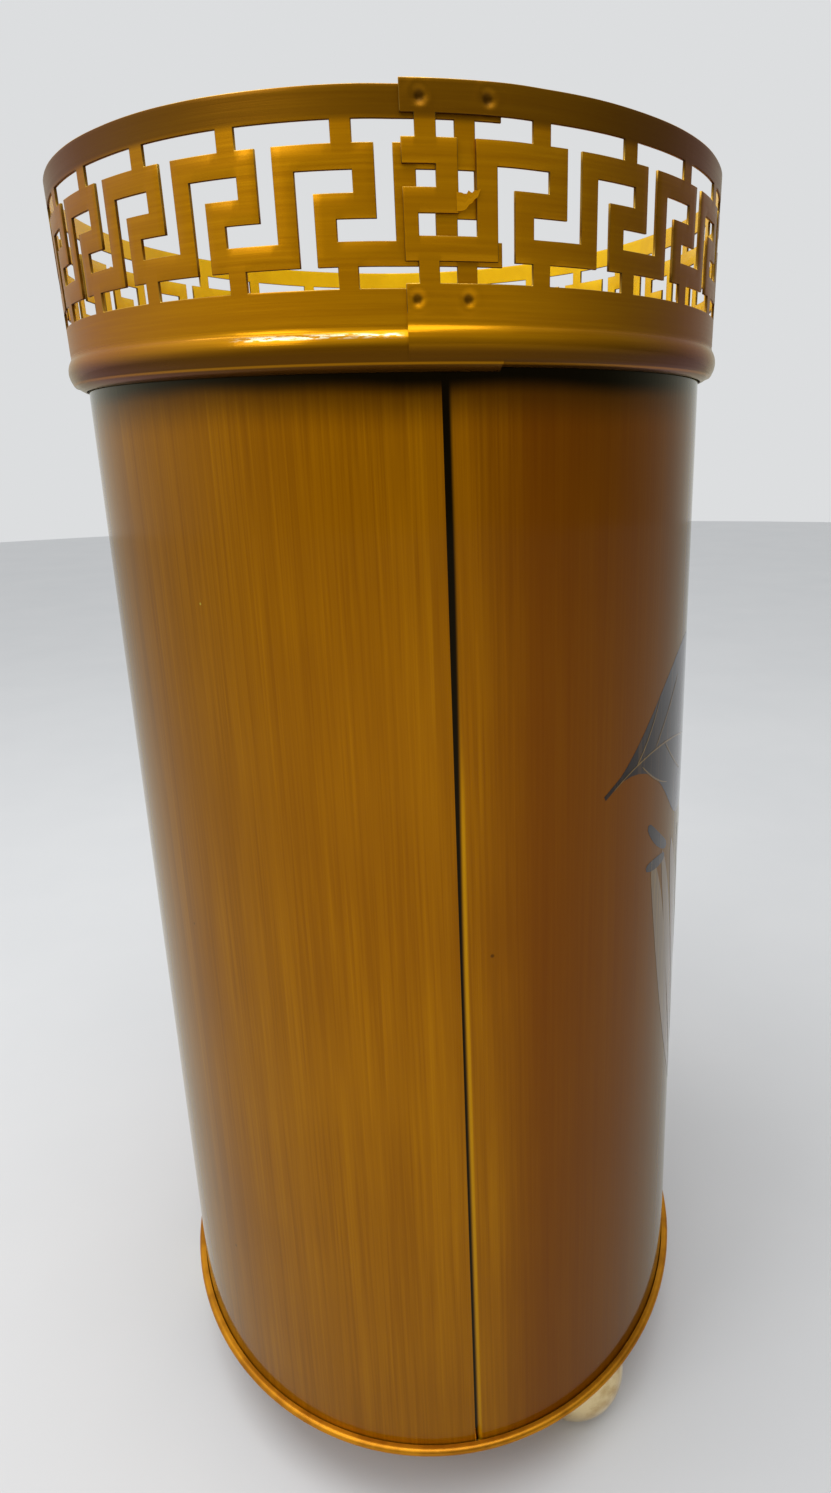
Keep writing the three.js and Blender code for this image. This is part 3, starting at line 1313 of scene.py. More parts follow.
@dataclass
class Gallery:
    """The pierced strip round the mouth, its lower edge rolled into the bead."""

    oval: Oval
    top: float
    bead_centre: float
    thick: float = 0.8 * MM
    counted_at: float = 4.6 * MM
    neck_out: float = 4.1 * MM
    top_out: float = 4.9 * MM
    bead_radius: float = 6.25 * MM
    bead_inset: float = 0.8 * MM
    hem_end: float = -74.0
    hem_angle: float = -38.0
    hem_lip: float = 0.08 * MM
    hem_depth: float = 0.4 * MM
    top_band: float = 6.9 * MM
    bar_wide: float = 5.3 * MM
    bar_tall: float = 5.5 * MM
    slot_tall: float = 4.7 * MM
    post_wide: float = 5.0 * MM
    pitch_aim: float = 28.7 * MM
    lap_phase: float = 0.674
    first_post: float = -0.9 * MM
    lap_start: float = -6.6 * MM
    lap_finish: float = 17.4 * MM
    lap_raise: float = 1.0 * MM
    raise_fade: float = 190.0 * MM
    lean: float = 0.16 * MM
    lean_length: float = 90.0 * MM
    lap_out: float = 0.5 * MM
    lap_in: float = 0.42 * MM
    bead_share: float = 0.8
    stride: float = 3.2 * MM
    weld_stride: float = 0.6 * MM
    weld_reach: float = 4.0 * MM
    pit_radius: float = 1.45 * MM
    pit_depth: float = 0.8 * MM
    rim_radius: float = 2.6 * MM
    rim_width: float = 0.8 * MM
    rim_height: float = 0.14 * MM
    edge_round: float = 0.14 * MM
    round_above_centre: float = 7.0 * MM
    sleek_above_centre: float = 3.5 * MM
    welds: tuple[tuple[Band, float], ...] = (
        (Band.TOP, -2.0 * MM),
        (Band.TOP, 14.0 * MM),
        (Band.FOOT, -4.0 * MM),
        (Band.FOOT, 8.5 * MM),
    )

    def __post_init__(self) -> None:
        """Works out the key's pitch and levels."""
        self.girth = Girth(self.oval, self.counted_at)
        keys = round(self.girth.total / self.pitch_aim - self.lap_phase) + self.lap_phase
        self.pitch = self.girth.total / keys
        self.third = self.pitch / 3.0
        self.key_start = self.first_post - 1.5 * self.third
        foot = self.top - self.top_band - 4.0 * self.slot_tall - 3.0 * self.bar_tall
        self.levels = [foot]
        for i in range(7):
            self.levels.append(self.levels[i] + (self.bar_tall if i % 2 else self.slot_tall))
        self.end = self.girth.total + self.lap_finish

    def openings(self, start: float) -> list[tuple[float, float, float, float]]:
        """The pierced rectangles of one key.

        Args:
            start: where the key begins.

        Returns:
            From, to, bottom and top of each.
        """
        bar = self.bar_wide / 2.0
        post = self.post_wide / 2.0
        third = self.third
        side = 1.5 * third + post
        far = 4.5 * third - post
        near = 1.5 * third - post
        level = self.levels
        return [
            (start + side, start + far, level[6], level[7]),
            (start + 2.0 * third + bar, start + 3.0 * third - bar, level[2], level[7]),
            (start + third + bar, start + 3.0 * third - bar, level[2], level[3]),
            (start + 3.0 * third - far, start + near, level[0], level[1]),
            (start + bar, start + third - bar, level[0], level[5]),
            (start + bar, start + 2.0 * third - bar, level[4], level[5]),
        ]

    def holes(self) -> np.ndarray:
        """Every pierced rectangle of the strip.

        Returns:
            One row for each: from, to, bottom and top.
        """
        found = []
        start = self.key_start - self.pitch
        while start < self.end + self.pitch:
            found.extend(self.openings(start))
            start += self.pitch
        return np.array(found)

    def section(self) -> SectionPath:
        """The sheet's section from the hem under the bead, round the bead and up to the top edge.

        Returns:
            The path.
        """
        half = self.thick / 2.0
        middle = (-self.bead_inset, self.bead_centre)
        radius = self.bead_radius - half
        path = SectionPath()
        path.bend(middle, radius - self.hem_depth, self.hem_end, self.hem_angle - 3.0, 10)
        path.bend(middle, radius + self.hem_lip, self.hem_angle, self.hem_angle + 4.0, 2)
        neck = math.degrees(math.acos((self.neck_out - half + self.bead_inset) / radius))
        path.bend(middle, radius, self.hem_angle + 7.0, neck - 4.0, 22)
        foot = path.points[-1]
        for share in (0.35, 0.7, 1.0):
            out = foot[0] + (self.neck_out - half - foot[0]) * (1.0 - (1.0 - share) ** 2)
            path.points.append((out, foot[1] + 1.5 * MM * share))
        for level in self.rows(path.points[-1][1] + 0.5 * MM):
            flare = (level - self.bead_centre) / (self.top - self.bead_centre)
            path.points.append((self.neck_out - half + (self.top_out - self.neck_out) * flare, level))
        return path

    def rows(self, foot: float) -> list[float]:
        """Heights of the strip's rows.

        Args:
            foot: the lowest.

        Returns:
            The heights, with a row at each level of the key.
        """
        fine = 0.5 * MM
        clear = 0.45 * MM
        fixed = [*self.levels, self.top]
        between = [(a + b) / 2.0 for a, b in zip(self.levels, self.levels[1:])]
        bands = [*np.arange(foot, self.levels[0], fine), *np.arange(self.levels[7], self.top, fine)]
        spare = [z for z in [*between, *bands] if all(abs(z - f) > clear for f in fixed)]
        return sorted([*fixed, *spare])

    def columns(self, holes: np.ndarray) -> np.ndarray:
        """Distances of the strip's columns, with one at each upright edge of the key.

        Args:
            holes: the pierced rectangles.

        Returns:
            The distances.
        """
        edges = np.unique(np.round(holes[:, :2].ravel(), 7))
        inside = edges[(edges > self.lap_start) & (edges < self.end)]
        fixed = np.array([self.lap_start, *inside, self.end])
        fixed = fixed[np.concatenate(([True], np.diff(fixed) > 0.02 * MM))]
        wanted = []
        for a, b in zip(fixed, fixed[1:]):
            fine = self.near_weld(a, b)
            pieces = max(1, math.ceil((b - a) / (self.weld_stride if fine else self.stride)))
            wanted.extend(a + (b - a) * i / pieces for i in range(pieces))
        return np.array([*wanted, fixed[-1]])

    def near_weld(self, start: float, end: float) -> bool:
        """True if a stretch of the strip is close to a spot weld.

        Args:
            start: its start.
            end: its end.

        Returns:
            Whether it is.
        """
        reach = self.weld_reach
        spots = [p + turn for _, p in self.welds for turn in (0.0, self.girth.total)]
        return any(start < spot + reach and end > spot - reach for spot in spots)

    def shift(self, along: np.ndarray, rows: np.ndarray) -> tuple[np.ndarray, np.ndarray]:
        """How far the lapped ends stand out of the oval and up.

        Args:
            along: distances of the columns.
            rows: heights of the rows, as a column of numbers.

        Returns:
            Offsets outwards and upwards, rows by columns.
        """
        total = self.girth.total
        fade = 1.0 - smooth(along, self.lap_finish + 1.0 * MM, self.lap_finish + 13.0 * MM)
        tuck = smooth(along, total + self.lap_start - 9.0 * MM, total + self.lap_start - 0.5 * MM)
        bead = 1.0 - smooth(rows, self.bead_centre + 4.0 * MM, self.bead_centre + 9.0 * MM)
        share = 1.0 - (1.0 - self.bead_share) * bead
        lean = self.lean * ripple(along, self.lean_length, 11) * smooth(rows, self.levels[0], self.top)
        out = (self.lap_out * fade - self.lap_in * tuck) * share + lean
        settle = 1.0 - smooth(along, self.lap_finish, self.lap_finish + self.raise_fade)
        return out, self.lap_raise * settle * np.ones_like(rows)

    def weld_level(self, band: Band) -> float:
        """Height of the spot welds in a plain band.

        Args:
            band: the band.

        Returns:
            The height of its middle, before the lap raises it.
        """
        edge = self.top if band is Band.TOP else self.levels[0]
        return edge - self.top_band / 2.0

    def dimples(self, along: np.ndarray, height: np.ndarray) -> np.ndarray:
        """How far the spot welds press the sheet in.

        Args:
            along: distances of the columns.
            height: heights of the rows.

        Returns:
            Depths, rows by columns, below 0 on the low rim round each pit.
        """
        total = np.zeros(np.broadcast(along, height).shape)
        for band, place in self.welds:
            across = np.minimum(np.abs(along - place), np.abs(along - place - self.girth.total))
            away = np.hypot(across, height - self.weld_level(band))
            pit = np.exp(-((away / self.pit_radius) ** 2))
            rim = np.exp(-(((away - self.rim_radius) / self.rim_width) ** 2))
            total += self.pit_depth * pit - self.rim_height * rim
        return total

    def weld_spots(self) -> tuple[tuple[float, float], ...]:
        """Where the spot welds show.

        Returns:
            The x and z of each.
        """
        spots = []
        for band, place in self.welds:
            level = np.array([self.weld_level(band)])
            spot = self.girth.places(np.array([place]), np.array([self.neck_out]), level)[0]
            spots.append((float(spot[0]), float(spot[2]) + self.lap_raise))
        return tuple(spots)

    def build(self) -> bpy.types.Object:
        """Makes and dresses the gallery.

        Returns:
            The piece.
        """
        holes = self.holes()
        path = self.section()
        face, back = path.faces(self.thick)
        height = np.array(path.points)[:, 1]
        along = self.columns(holes)
        out, up = self.shift(along[None, :], height[:, None])
        out = out - self.dimples(along[None, :], height[:, None])
        outer = self.girth.places(along[None, :], face[:, :1] + out, face[:, 1:] + up)
        inner = self.girth.places(along[None, :], back[:, :1] + out, back[:, 1:] + up)
        run = np.concatenate(([0.0], np.cumsum(np.hypot(*np.diff(np.array(path.points), axis=0).T))))
        grid = SheetGrid("gallery", outer, inner, along, run)
        middle_along = (along[:-1] + along[1:]) / 2.0
        middle_up = (height[:-1] + height[1:]) / 2.0
        for start, end, bottom, top in holes:
            cut = (middle_along > start) & (middle_along < end)
            grid.keep[np.ix_((middle_up > bottom) & (middle_up < top), cut)] = False
        piece = grid.build()
        crown = self.bead_centre + self.sleek_above_centre
        # painted shade on the top band and sides, darker spots at the weld pits, and painted shade and a
        # painted hem highlight on the bead
        wear_and_light = (
            PaintedShadeTop(self.top - self.top_band),
            WeldPitDarkening(self.weld_spots()),
            BeadLightAndWear(crown, GALLERY_LACQUER.base),
        )
        lacquer = replace(GALLERY_LACQUER, sleek_below=crown, wear_and_light=wear_and_light)
        for material in (made(lacquer), made(INSIDE_GOLD), made(EDGE_GOLD)):
            piece.data.materials.append(material)
        soften(piece, self.edge_round, self.bead_centre + self.round_above_centre)
        dress(piece, "gallery_lacquer", ["gallery_band"])
        return piece


@dataclass
class Burr:
    """A torn tongue of metal at the end of a key bar in the gallery's lap.

    Its outline is given from root to tip, in millimetres: distance along, lower edge and upper edge.
    """

    gallery: Gallery
    thick: float = 0.3 * MM
    lift: float = 0.15 * MM
    curl: float = 0.5 * MM
    outline: tuple[tuple[float, float, float], ...] = (
        (-0.6, 0.5, 4.6),
        (0.8, 0.6, 4.4),
        (1.7, 1.0, 3.9),
        (2.3, 1.9, 4.9),
        (3.1, 2.3, 4.4),
        (3.7, 3.1, 5.0),
        (4.4, 3.5, 4.9),
        (5.1, 5.1, 5.3),
    )

    def build(self) -> bpy.types.Object:
        """Makes and dresses the burr.

        Returns:
            The piece.
        """
        gallery = self.gallery
        start = gallery.key_start + 2.0 * gallery.third + gallery.bar_wide / 2.0
        level = gallery.levels[3] + gallery.lap_raise
        flare = (level - gallery.bead_centre) / (gallery.top - gallery.bead_centre)
        out = gallery.neck_out + (gallery.top_out - gallery.neck_out) * flare + gallery.lap_out + self.lift
        along, low, high = np.array(self.outline).T * MM
        height = level + np.array([low, high])
        bent = out + self.curl * (np.clip(along, 0.0, None) / along[-1]) ** 1.5
        face = gallery.girth.places(start + along[None, :], bent[None, :], height)
        back = gallery.girth.places(start + along[None, :], bent[None, :] - self.thick, height)
        piece = SheetGrid("lap_burr", face, back, start + along, height[:, 0]).build()
        # the lighter lacquer is painted light on the burr's face
        lacquer = made(BURR_LIGHTENED_LACQUER)
        edge = made(EDGE_GOLD)
        dress(piece, "gallery_lacquer", [], lacquer, lacquer, edge)
        return piece


# ---- pan -----------------------------------------------------------------------------------------------


@dataclass
class Pan:
    """The pressed bottom: a fold round the body's flange, a slope and a raised floor."""

    girth: Girth
    bottom: float
    thick: float = 0.8 * MM
    fold_out: float = 3.0 * MM
    fold_tall: float = 3.0 * MM
    fold_turn: float = 78.0
    lip_in: float = 0.35 * MM
    inset: float = 4.0 * MM
    rise: float = 2.0 * MM
    slope_run: float = 4.0 * MM
    shelf: float = 7.0 * MM
    wave: float = 0.12 * MM
    stride: float = 2.0 * MM
    floor_rings: tuple[float, ...] = (0.93, 0.84, 0.72, 0.58, 0.42, 0.24, 0.08, 0.004)

    def section(self) -> SectionPath:
        """The sheet's section from the fold's lip, round the fold and in to the raised floor.

        Returns:
            The path, which starts at the lip and goes outwards, down and in.
        """
        half = self.thick / 2.0
        low = self.bottom + half
        high = self.bottom + self.fold_tall - half
        radius = (high - low) / 2.0
        turn = (self.fold_out + 0.05 * MM - half - radius, (low + high) / 2.0)
        path = SectionPath()
        path.to(self.lip_in, high).to(turn[0], high, 2)
        path.bend(turn, radius, self.fold_turn, -self.fold_turn, 12)
        path.to(turn[0], low).to(-self.inset + 1.0 * MM, low, 6)
        start = path.points[-1][0]
        for share, up in ((0.15, 0.03), (0.3, 0.15), (0.5, 0.5), (0.7, 0.85), (0.85, 0.97), (1.0, 1.0)):
            path.points.append((start - self.slope_run * share, low + self.rise * up))
        path.to(-self.inset - self.shelf, low + self.rise, 2)
        return path

    def build(self) -> bpy.types.Object:
        """Makes and dresses the pan.

        Returns:
            The piece.
        """
        path = self.section()
        left, right = path.faces(self.thick)
        pieces = round(self.girth.total / self.stride)
        along = np.linspace(0.0, self.girth.total, pieces + 1)
        waves = self.wave * ripple(along / self.girth.total, 0.5, 3)[None, :] * (left[:, :1] > 0.0)
        outer = self.girth.places(along[None, :], right[:, :1] + waves, right[:, 1:])
        inner = self.girth.places(along[None, :], left[:, :1] + waves, left[:, 1:])
        outer = self.with_floor(outer)
        inner = self.with_floor(inner)
        up = np.arange(outer.shape[0]) * self.stride
        piece = SheetGrid("base_pan_shell", inner, outer, along, up).build(closed=True)
        gold = made(RIM_GOLD)
        self.turn_outwards(piece)
        dress(piece, "rim_gold", ["base_pan"], gold, gold, gold)
        return piece

    def with_floor(self, grid: np.ndarray) -> np.ndarray:
        """Adds the flat floor inside the last row of a face.

        Args:
            grid: corners, rows by columns by 3.

        Returns:
            The corners with a shrunken copy of the last row for each ring of the floor.
        """
        level = np.array([1.0, 1.0, 0.0])
        rings = [grid[-1] * level * share + grid[-1] * (1.0 - level) for share in self.floor_rings]
        return np.concatenate((grid, np.array(rings)), axis=0)

    @staticmethod
    def turn_outwards(piece: bpy.types.Object) -> None:
        """Makes all faces look out of the sheet.

        Args:
            piece: the piece.
        """
        work = bmesh.new()
        work.from_mesh(piece.data)
        bmesh.ops.recalc_face_normals(work, faces=work.faces)
        work.to_mesh(piece.data)
        work.free()


# ---- feet ----------------------------------------------------------------------------------------------


@dataclass
class Foot:
    """A ball foot with its collar, screw and washer."""

    number: int
    radius: float = 20.0 * MM
    sink: float = 2.0 * MM
    collar: float = 9.0 * MM
    collar_tall: float = 2.0 * MM
    hollow: float = 0.35 * MM
    neck: float = 0.2 * MM
    collar_edge: float = 0.4 * MM
    sides: int = 96
    head_tall: float = 2.4 * MM
    head_rim: float = 0.8 * MM
    core: float = 1.7 * MM
    crest: float = 2.0 * MM
    pitch: float = 0.8 * MM
    slot_wide: float = 1.0 * MM
    slot_deep: float = 1.0 * MM
    washer_bore: float = 2.3 * MM
    washer_round: float = 0.12 * MM

    def box(self, part: str) -> tuple[Vector, Vector]:
        """Corners of one of the foot's CAD nodes."""
        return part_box(f"{part}_{self.number}")

    def build(self) -> list[bpy.types.Object]:
        """Makes and dresses the ball, the screw and the washer.

        Returns:
            The three pieces.
        """
        low, high = self.box("foot")
        centre = (low + high) / 2.0
        brass = made(POLISHED_BRASS)
        zinc = made(ZINC_PLATE)
        pieces = [self.ball(centre, high.z), self.screw(centre), self.washer(centre)]
        dress(pieces[0], "polished_brass", [f"foot_{self.number}"], brass)
        dress(pieces[1], "zinc_plate", [f"foot_screw_{self.number}"], zinc)
        dress(pieces[2], "zinc_plate", [f"foot_washer_{self.number}"], zinc)
        return pieces

    def ball(self, centre: Vector, top: float) -> bpy.types.Object:
        """The turned ball with a slightly hollow flat to stand on and a collar under the pan.

        Args:
            centre: middle of the foot.
            top: height of the collar's top.

        Returns:
            The piece.
        """
        middle = self.radius - self.sink
        low = math.asin(-middle / self.radius)
        join = top - self.collar_tall
        high = math.asin((join - middle) / self.radius)
        flat = self.radius * math.cos(low)
        profile = [(0.0, self.hollow), (flat * 0.5, self.hollow - 0.05 * MM)]
        profile.extend([(flat * 0.82, self.hollow - 0.1 * MM), (flat * 0.86, 0.0)])
        rings = 34
        for i in range(1, rings + 1):
            turn = low + (high - low) * i / rings
            profile.append((self.radius * math.cos(turn), middle + self.radius * math.sin(turn)))
        groove = self.collar + self.neck
        profile.extend(
            [
                (groove, join + 0.15 * MM),
                (self.collar, join + 0.5 * MM),
                (self.collar, top - self.collar_edge),
                (self.collar - self.collar_edge, top),
                (0.0, top),
            ]
        )
        return turned(f"ball_foot_{self.number}", profile, centre, self.sides)

    def screw(self, centre: Vector) -> bpy.types.Object:
        """The slotted screw that holds the foot from inside the pan.

        Args:
            centre: middle of the foot.

        Returns:
            The piece.
        """
        low, high = self.box("foot_screw")
        head_radius = (high.x - low.x) / 2.0
        under = high.z - self.head_tall
        core, crest, pitch = self.core, self.crest, self.pitch
        level = low.z + 0.5 * MM
        profile = [(0.0, low.z), (core * 0.7, low.z), (core, level)]
        while level + pitch < under - 1.0 * MM:
            turn = [(core, level + 0.3 * pitch), (crest, level + 0.5 * pitch), (core, level + 0.7 * pitch)]
            profile.extend(turn)
            level += pitch
        profile.extend([(core, under - 0.6 * MM), (crest, under - 0.4 * MM), (crest, under)])
        rim = under + self.head_rim
        profile.extend([(head_radius, under), (head_radius, rim)])
        steps = 8
        for i in range(1, steps):
            slope = math.pi / 2.0 * i / steps
            profile.append((head_radius * math.cos(slope), rim + (high.z - rim) * math.sin(slope)))
        profile.append((0.0, high.z))
        piece = turned(f"screw_{self.number}", profile, centre, 40)
        self.cut_slot(piece, head_radius, high.z)
        return piece

    def cut_slot(self, piece: bpy.types.Object, head_radius: float, top: float) -> None:
        """Cuts the driver's slot across a screw's head.

        Args:
            piece: the screw.
            head_radius: radius of its head.
            top: height of its head's top.
        """
        work = bmesh.new()
        bmesh.ops.create_cube(work, size=1.0)
        size = (head_radius * 3.0, self.slot_wide, self.slot_deep * 2.0)
        bmesh.ops.scale(work, vec=size, verts=work.verts)
        bmesh.ops.translate(work, vec=(piece.location.x, piece.location.y, top), verts=work.verts)
        mesh = bpy.data.meshes.new("slot_cutter")
        work.to_mesh(mesh)
        work.free()
        cutter = bpy.data.objects.new("slot_cutter", mesh)
        bpy.context.scene.collection.objects.link(cutter)
        cut = piece.modifiers.new("slot", "BOOLEAN")
        cut.object = cutter
        cut.operation = "DIFFERENCE"
        cut.solver = "EXACT"
        bpy.context.view_layer.update()
        keep_shape(piece)
        bpy.data.objects.remove(cutter)

    def washer(self, centre: Vector) -> bpy.types.Object:
        """The flat ring under the screw's head.

        Args:
            centre: middle of the foot.

        Returns:
            The piece.
        """
        low, high = self.box("foot_washer")
        outside = (high.x - low.x) / 2.0
        inside = self.washer_bore
        round_off = self.washer_round
        ring = [
            (inside, low.z + round_off),
            (inside + round_off, low.z),
            (outside - round_off, low.z),
            (outside, low.z + round_off),
            (outside, high.z - round_off),
            (outside - round_off, high.z),
            (inside + round_off, high.z),
            (inside, high.z - round_off),
        ]
        return turned(f"washer_{self.number}", [*ring, ring[0]], centre, 48)


# ---- printed decoration --------------------------------------------------------------------------------


Line = tuple[tuple[float, float], ...]


@dataclass(frozen=True)
class Stroke:
    """One leaf, stem or vein, pointed at both ends.

    Its rib's points are distance along the body and height, in millimetres, and so is its width. The
    belly is where along the rib it is widest, and the point is how fine its ends are drawn out.
    """

    rib: Line
    width: float
    belly: float = 0.4
    point: float = 0.8

    def mirrored(self, about: float) -> "Stroke":
        """The same stroke on the other side of an upright line.

        Args:
            about: the line's distance along the body, in millimetres.

        Returns:
            The stroke.
        """
        return replace(self, rib=tuple((2.0 * about - along, height) for along, height in self.rib))

    def sides(self, count: int = 28) -> tuple[np.ndarray, np.ndarray]:
        """Points on both sides of the stroke.

        Args:
            count: how many on each side.

        Returns:
            The points of the left side and of the right side, in millimetres.
        """
        rib = np.array(self.rib, dtype=float)
        steps = np.concatenate(([0.0], np.cumsum(np.hypot(*np.diff(rib, axis=0).T))))
        t = np.linspace(0.0, 1.0, count)
        fit = [np.poly1d(np.polyfit(steps / steps[-1], rib[:, k], min(3, len(rib) - 1))) for k in (0, 1)]
        middle = np.stack((fit[0](t), fit[1](t)), axis=1)
        tangent = np.gradient(middle, axis=0)
        tangent /= np.linalg.norm(tangent, axis=1)[:, None]
        normal = np.stack((-tangent[:, 1], tangent[:, 0]), axis=1)
        power = math.log(0.5) / math.log(self.belly)
        half = self.width / 2.0 * np.maximum(np.sin(math.pi * t**power), 0.0) ** self.point
        half = np.maximum(half, max(0.12, self.width * 0.012))[:, None]
        return middle + normal * half, middle - normal * half


@dataclass
class PrintedSpray:
    """A generic spray of leaves and reeds printed on the broad side at +X.

    Its points are distance along the body from the middle of the narrow end, and height, in millimetres.
    The two halves of the spray mirror each other about the middle.
    """

    body: Body
    middle: float = 191.0
    film: float = 0.03 * MM
    clear: float = 0.03 * MM
    side_leaves: tuple[Stroke, ...] = (
        Stroke(((53.5, 275), (70, 282), (92, 286), (130, 280), (172, 262)), 66.0, 0.56, 1.75),
        Stroke(((80, 257), (89, 249), (99, 243)), 4.6, 0.5, 0.3),
        Stroke(((79, 241.5), (88, 240.5), (97, 240)), 4.2, 0.5, 0.3),
    )
    stem: Stroke = Stroke(((191, 96), (189, 180), (192, 262), (190, 338)), 3.2)
    stem_leaves: tuple[tuple[float, float, float, float], ...] = (
        (150, 212, 52, 17),
        (186, 262, 44, 15),
        (236, 322, 34, 13),
    )
    reeds: tuple[tuple[float, float, float], ...] = (
        (84, 120, 11),
        (94, 108, 9),
        (106, 100, 12),
        (121, 92, 10),
        (136, 84, 9),
    )
    veins: tuple[Line, ...] = (
        ((58, 276.5), (80, 283), (110, 281), (150, 270)),
        ((70, 281), (78, 289), (86, 300)),
        ((84, 284), (95, 294), (106, 304)),
        ((74, 280), (84, 273), (96, 268)),
        ((92, 284), (104, 274), (118, 266)),
    )

    def leaves(self) -> list[Stroke]:
        """The dark leaves: a pair of side groups, a stem, and leaves by pairs up the stem.

        Returns:
            Their strokes; each pair on the stem is given as low end, high end, reach and width.
        """
        strokes = []
        for leaf in self.side_leaves:
            strokes.extend((leaf, leaf.mirrored(self.middle)))
        strokes.append(self.stem)
        for side in (-1.0, 1.0):
            for low, high, reach, width in self.stem_leaves:
                root = (self.middle, low)
                bow = (self.middle + side * reach * 0.55, (low + high) / 2.0 + 6.0)
                tip = (self.middle + side * reach, high)
                strokes.append(Stroke((root, bow, tip), width, 0.45))
        return strokes

    def stalks(self) -> list[Stroke]:
        """The paler reeds that hang from under the side leaves.

        Returns:
            Their strokes; each reed is given as its start along the body, its low end and its width.
        """
        strokes = []
        for start, low, width in self.reeds:
            rib = ((start, 243), (start + 12, 205), (start + 26, 160), (start + 50, low))
            reed = Stroke(rib, width, 0.35)
            strokes.extend((reed, reed.mirrored(self.middle)))
        return strokes

    def ribbon(self, work: bmesh.types.BMesh, stroke: Stroke, lift: float = 0.0) -> None:
        """Adds a stroke as a thin closed film on the body.

        Args:
            work: mesh being made.
            stroke: the stroke.
            lift: how far it stands off, for a print on top of another one.
        """
        left, right = stroke.sides()
        across = 5
        layers = []
        for out in (self.clear + lift, self.clear + lift + self.film):
            rows = []
            for share in np.linspace(0.0, 1.0, across):
                line = (left + (right - left) * share) * MM
                stand = out + self.body.set_out(line[:, 0], line[:, 1])
                spots = self.body.girth.places(line[:, 0], stand, line[:, 1])
                rows.append([work.verts.new(spot) for spot in spots])
            layers.append(rows)
        low, high = layers
        count = len(left)
        for r in range(across - 1):
            for c in range(count - 1):
                work.faces.new((high[r][c], high[r][c + 1], high[r + 1][c + 1], high[r + 1][c]))
                work.faces.new((low[r][c], low[r + 1][c], low[r + 1][c + 1], low[r][c + 1]))
        for c in range(count - 1):
            work.faces.new((high[0][c + 1], high[0][c], low[0][c], low[0][c + 1]))
            work.faces.new((high[-1][c], high[-1][c + 1], low[-1][c + 1], low[-1][c]))
        for r in range(across - 1):
            work.faces.new((high[r][0], high[r + 1][0], low[r + 1][0], low[r][0]))
            work.faces.new((high[r + 1][-1], high[r][-1], low[r][-1], low[r + 1][-1]))

    def build(self) -> list[bpy.types.Object]:
        """Makes and dresses the dark leaves and the paler reeds, with the leaves' veins.

        Returns:
            The two pieces.
        """
        dark = bmesh.new()
        for leaf in self.leaves():
            self.ribbon(dark, leaf)
        pale = bmesh.new()
        for reed in self.stalks():
            self.ribbon(pale, reed)
        for rib in self.veins:
            vein = Stroke(rib, 0.6, 0.4, 0.4)
            for side in (vein, vein.mirrored(self.middle)):
                self.ribbon(pale, side, 2.0 * self.film)
        pieces = []
        for name, work, finish in (("printed_leaves", dark, DARK_INK), ("printed_reeds", pale, GREY_INK)):
            bmesh.ops.recalc_face_normals(work, faces=work.faces)
            mesh = bpy.data.meshes.new(name)
            work.to_mesh(mesh)
            work.free()
            piece = placed(name, mesh)
            dress(piece, "print_ink", [], made(finish))
            pieces.append(piece)
        return pieces


# ---- studio --------------------------------------------------------------------------------------------


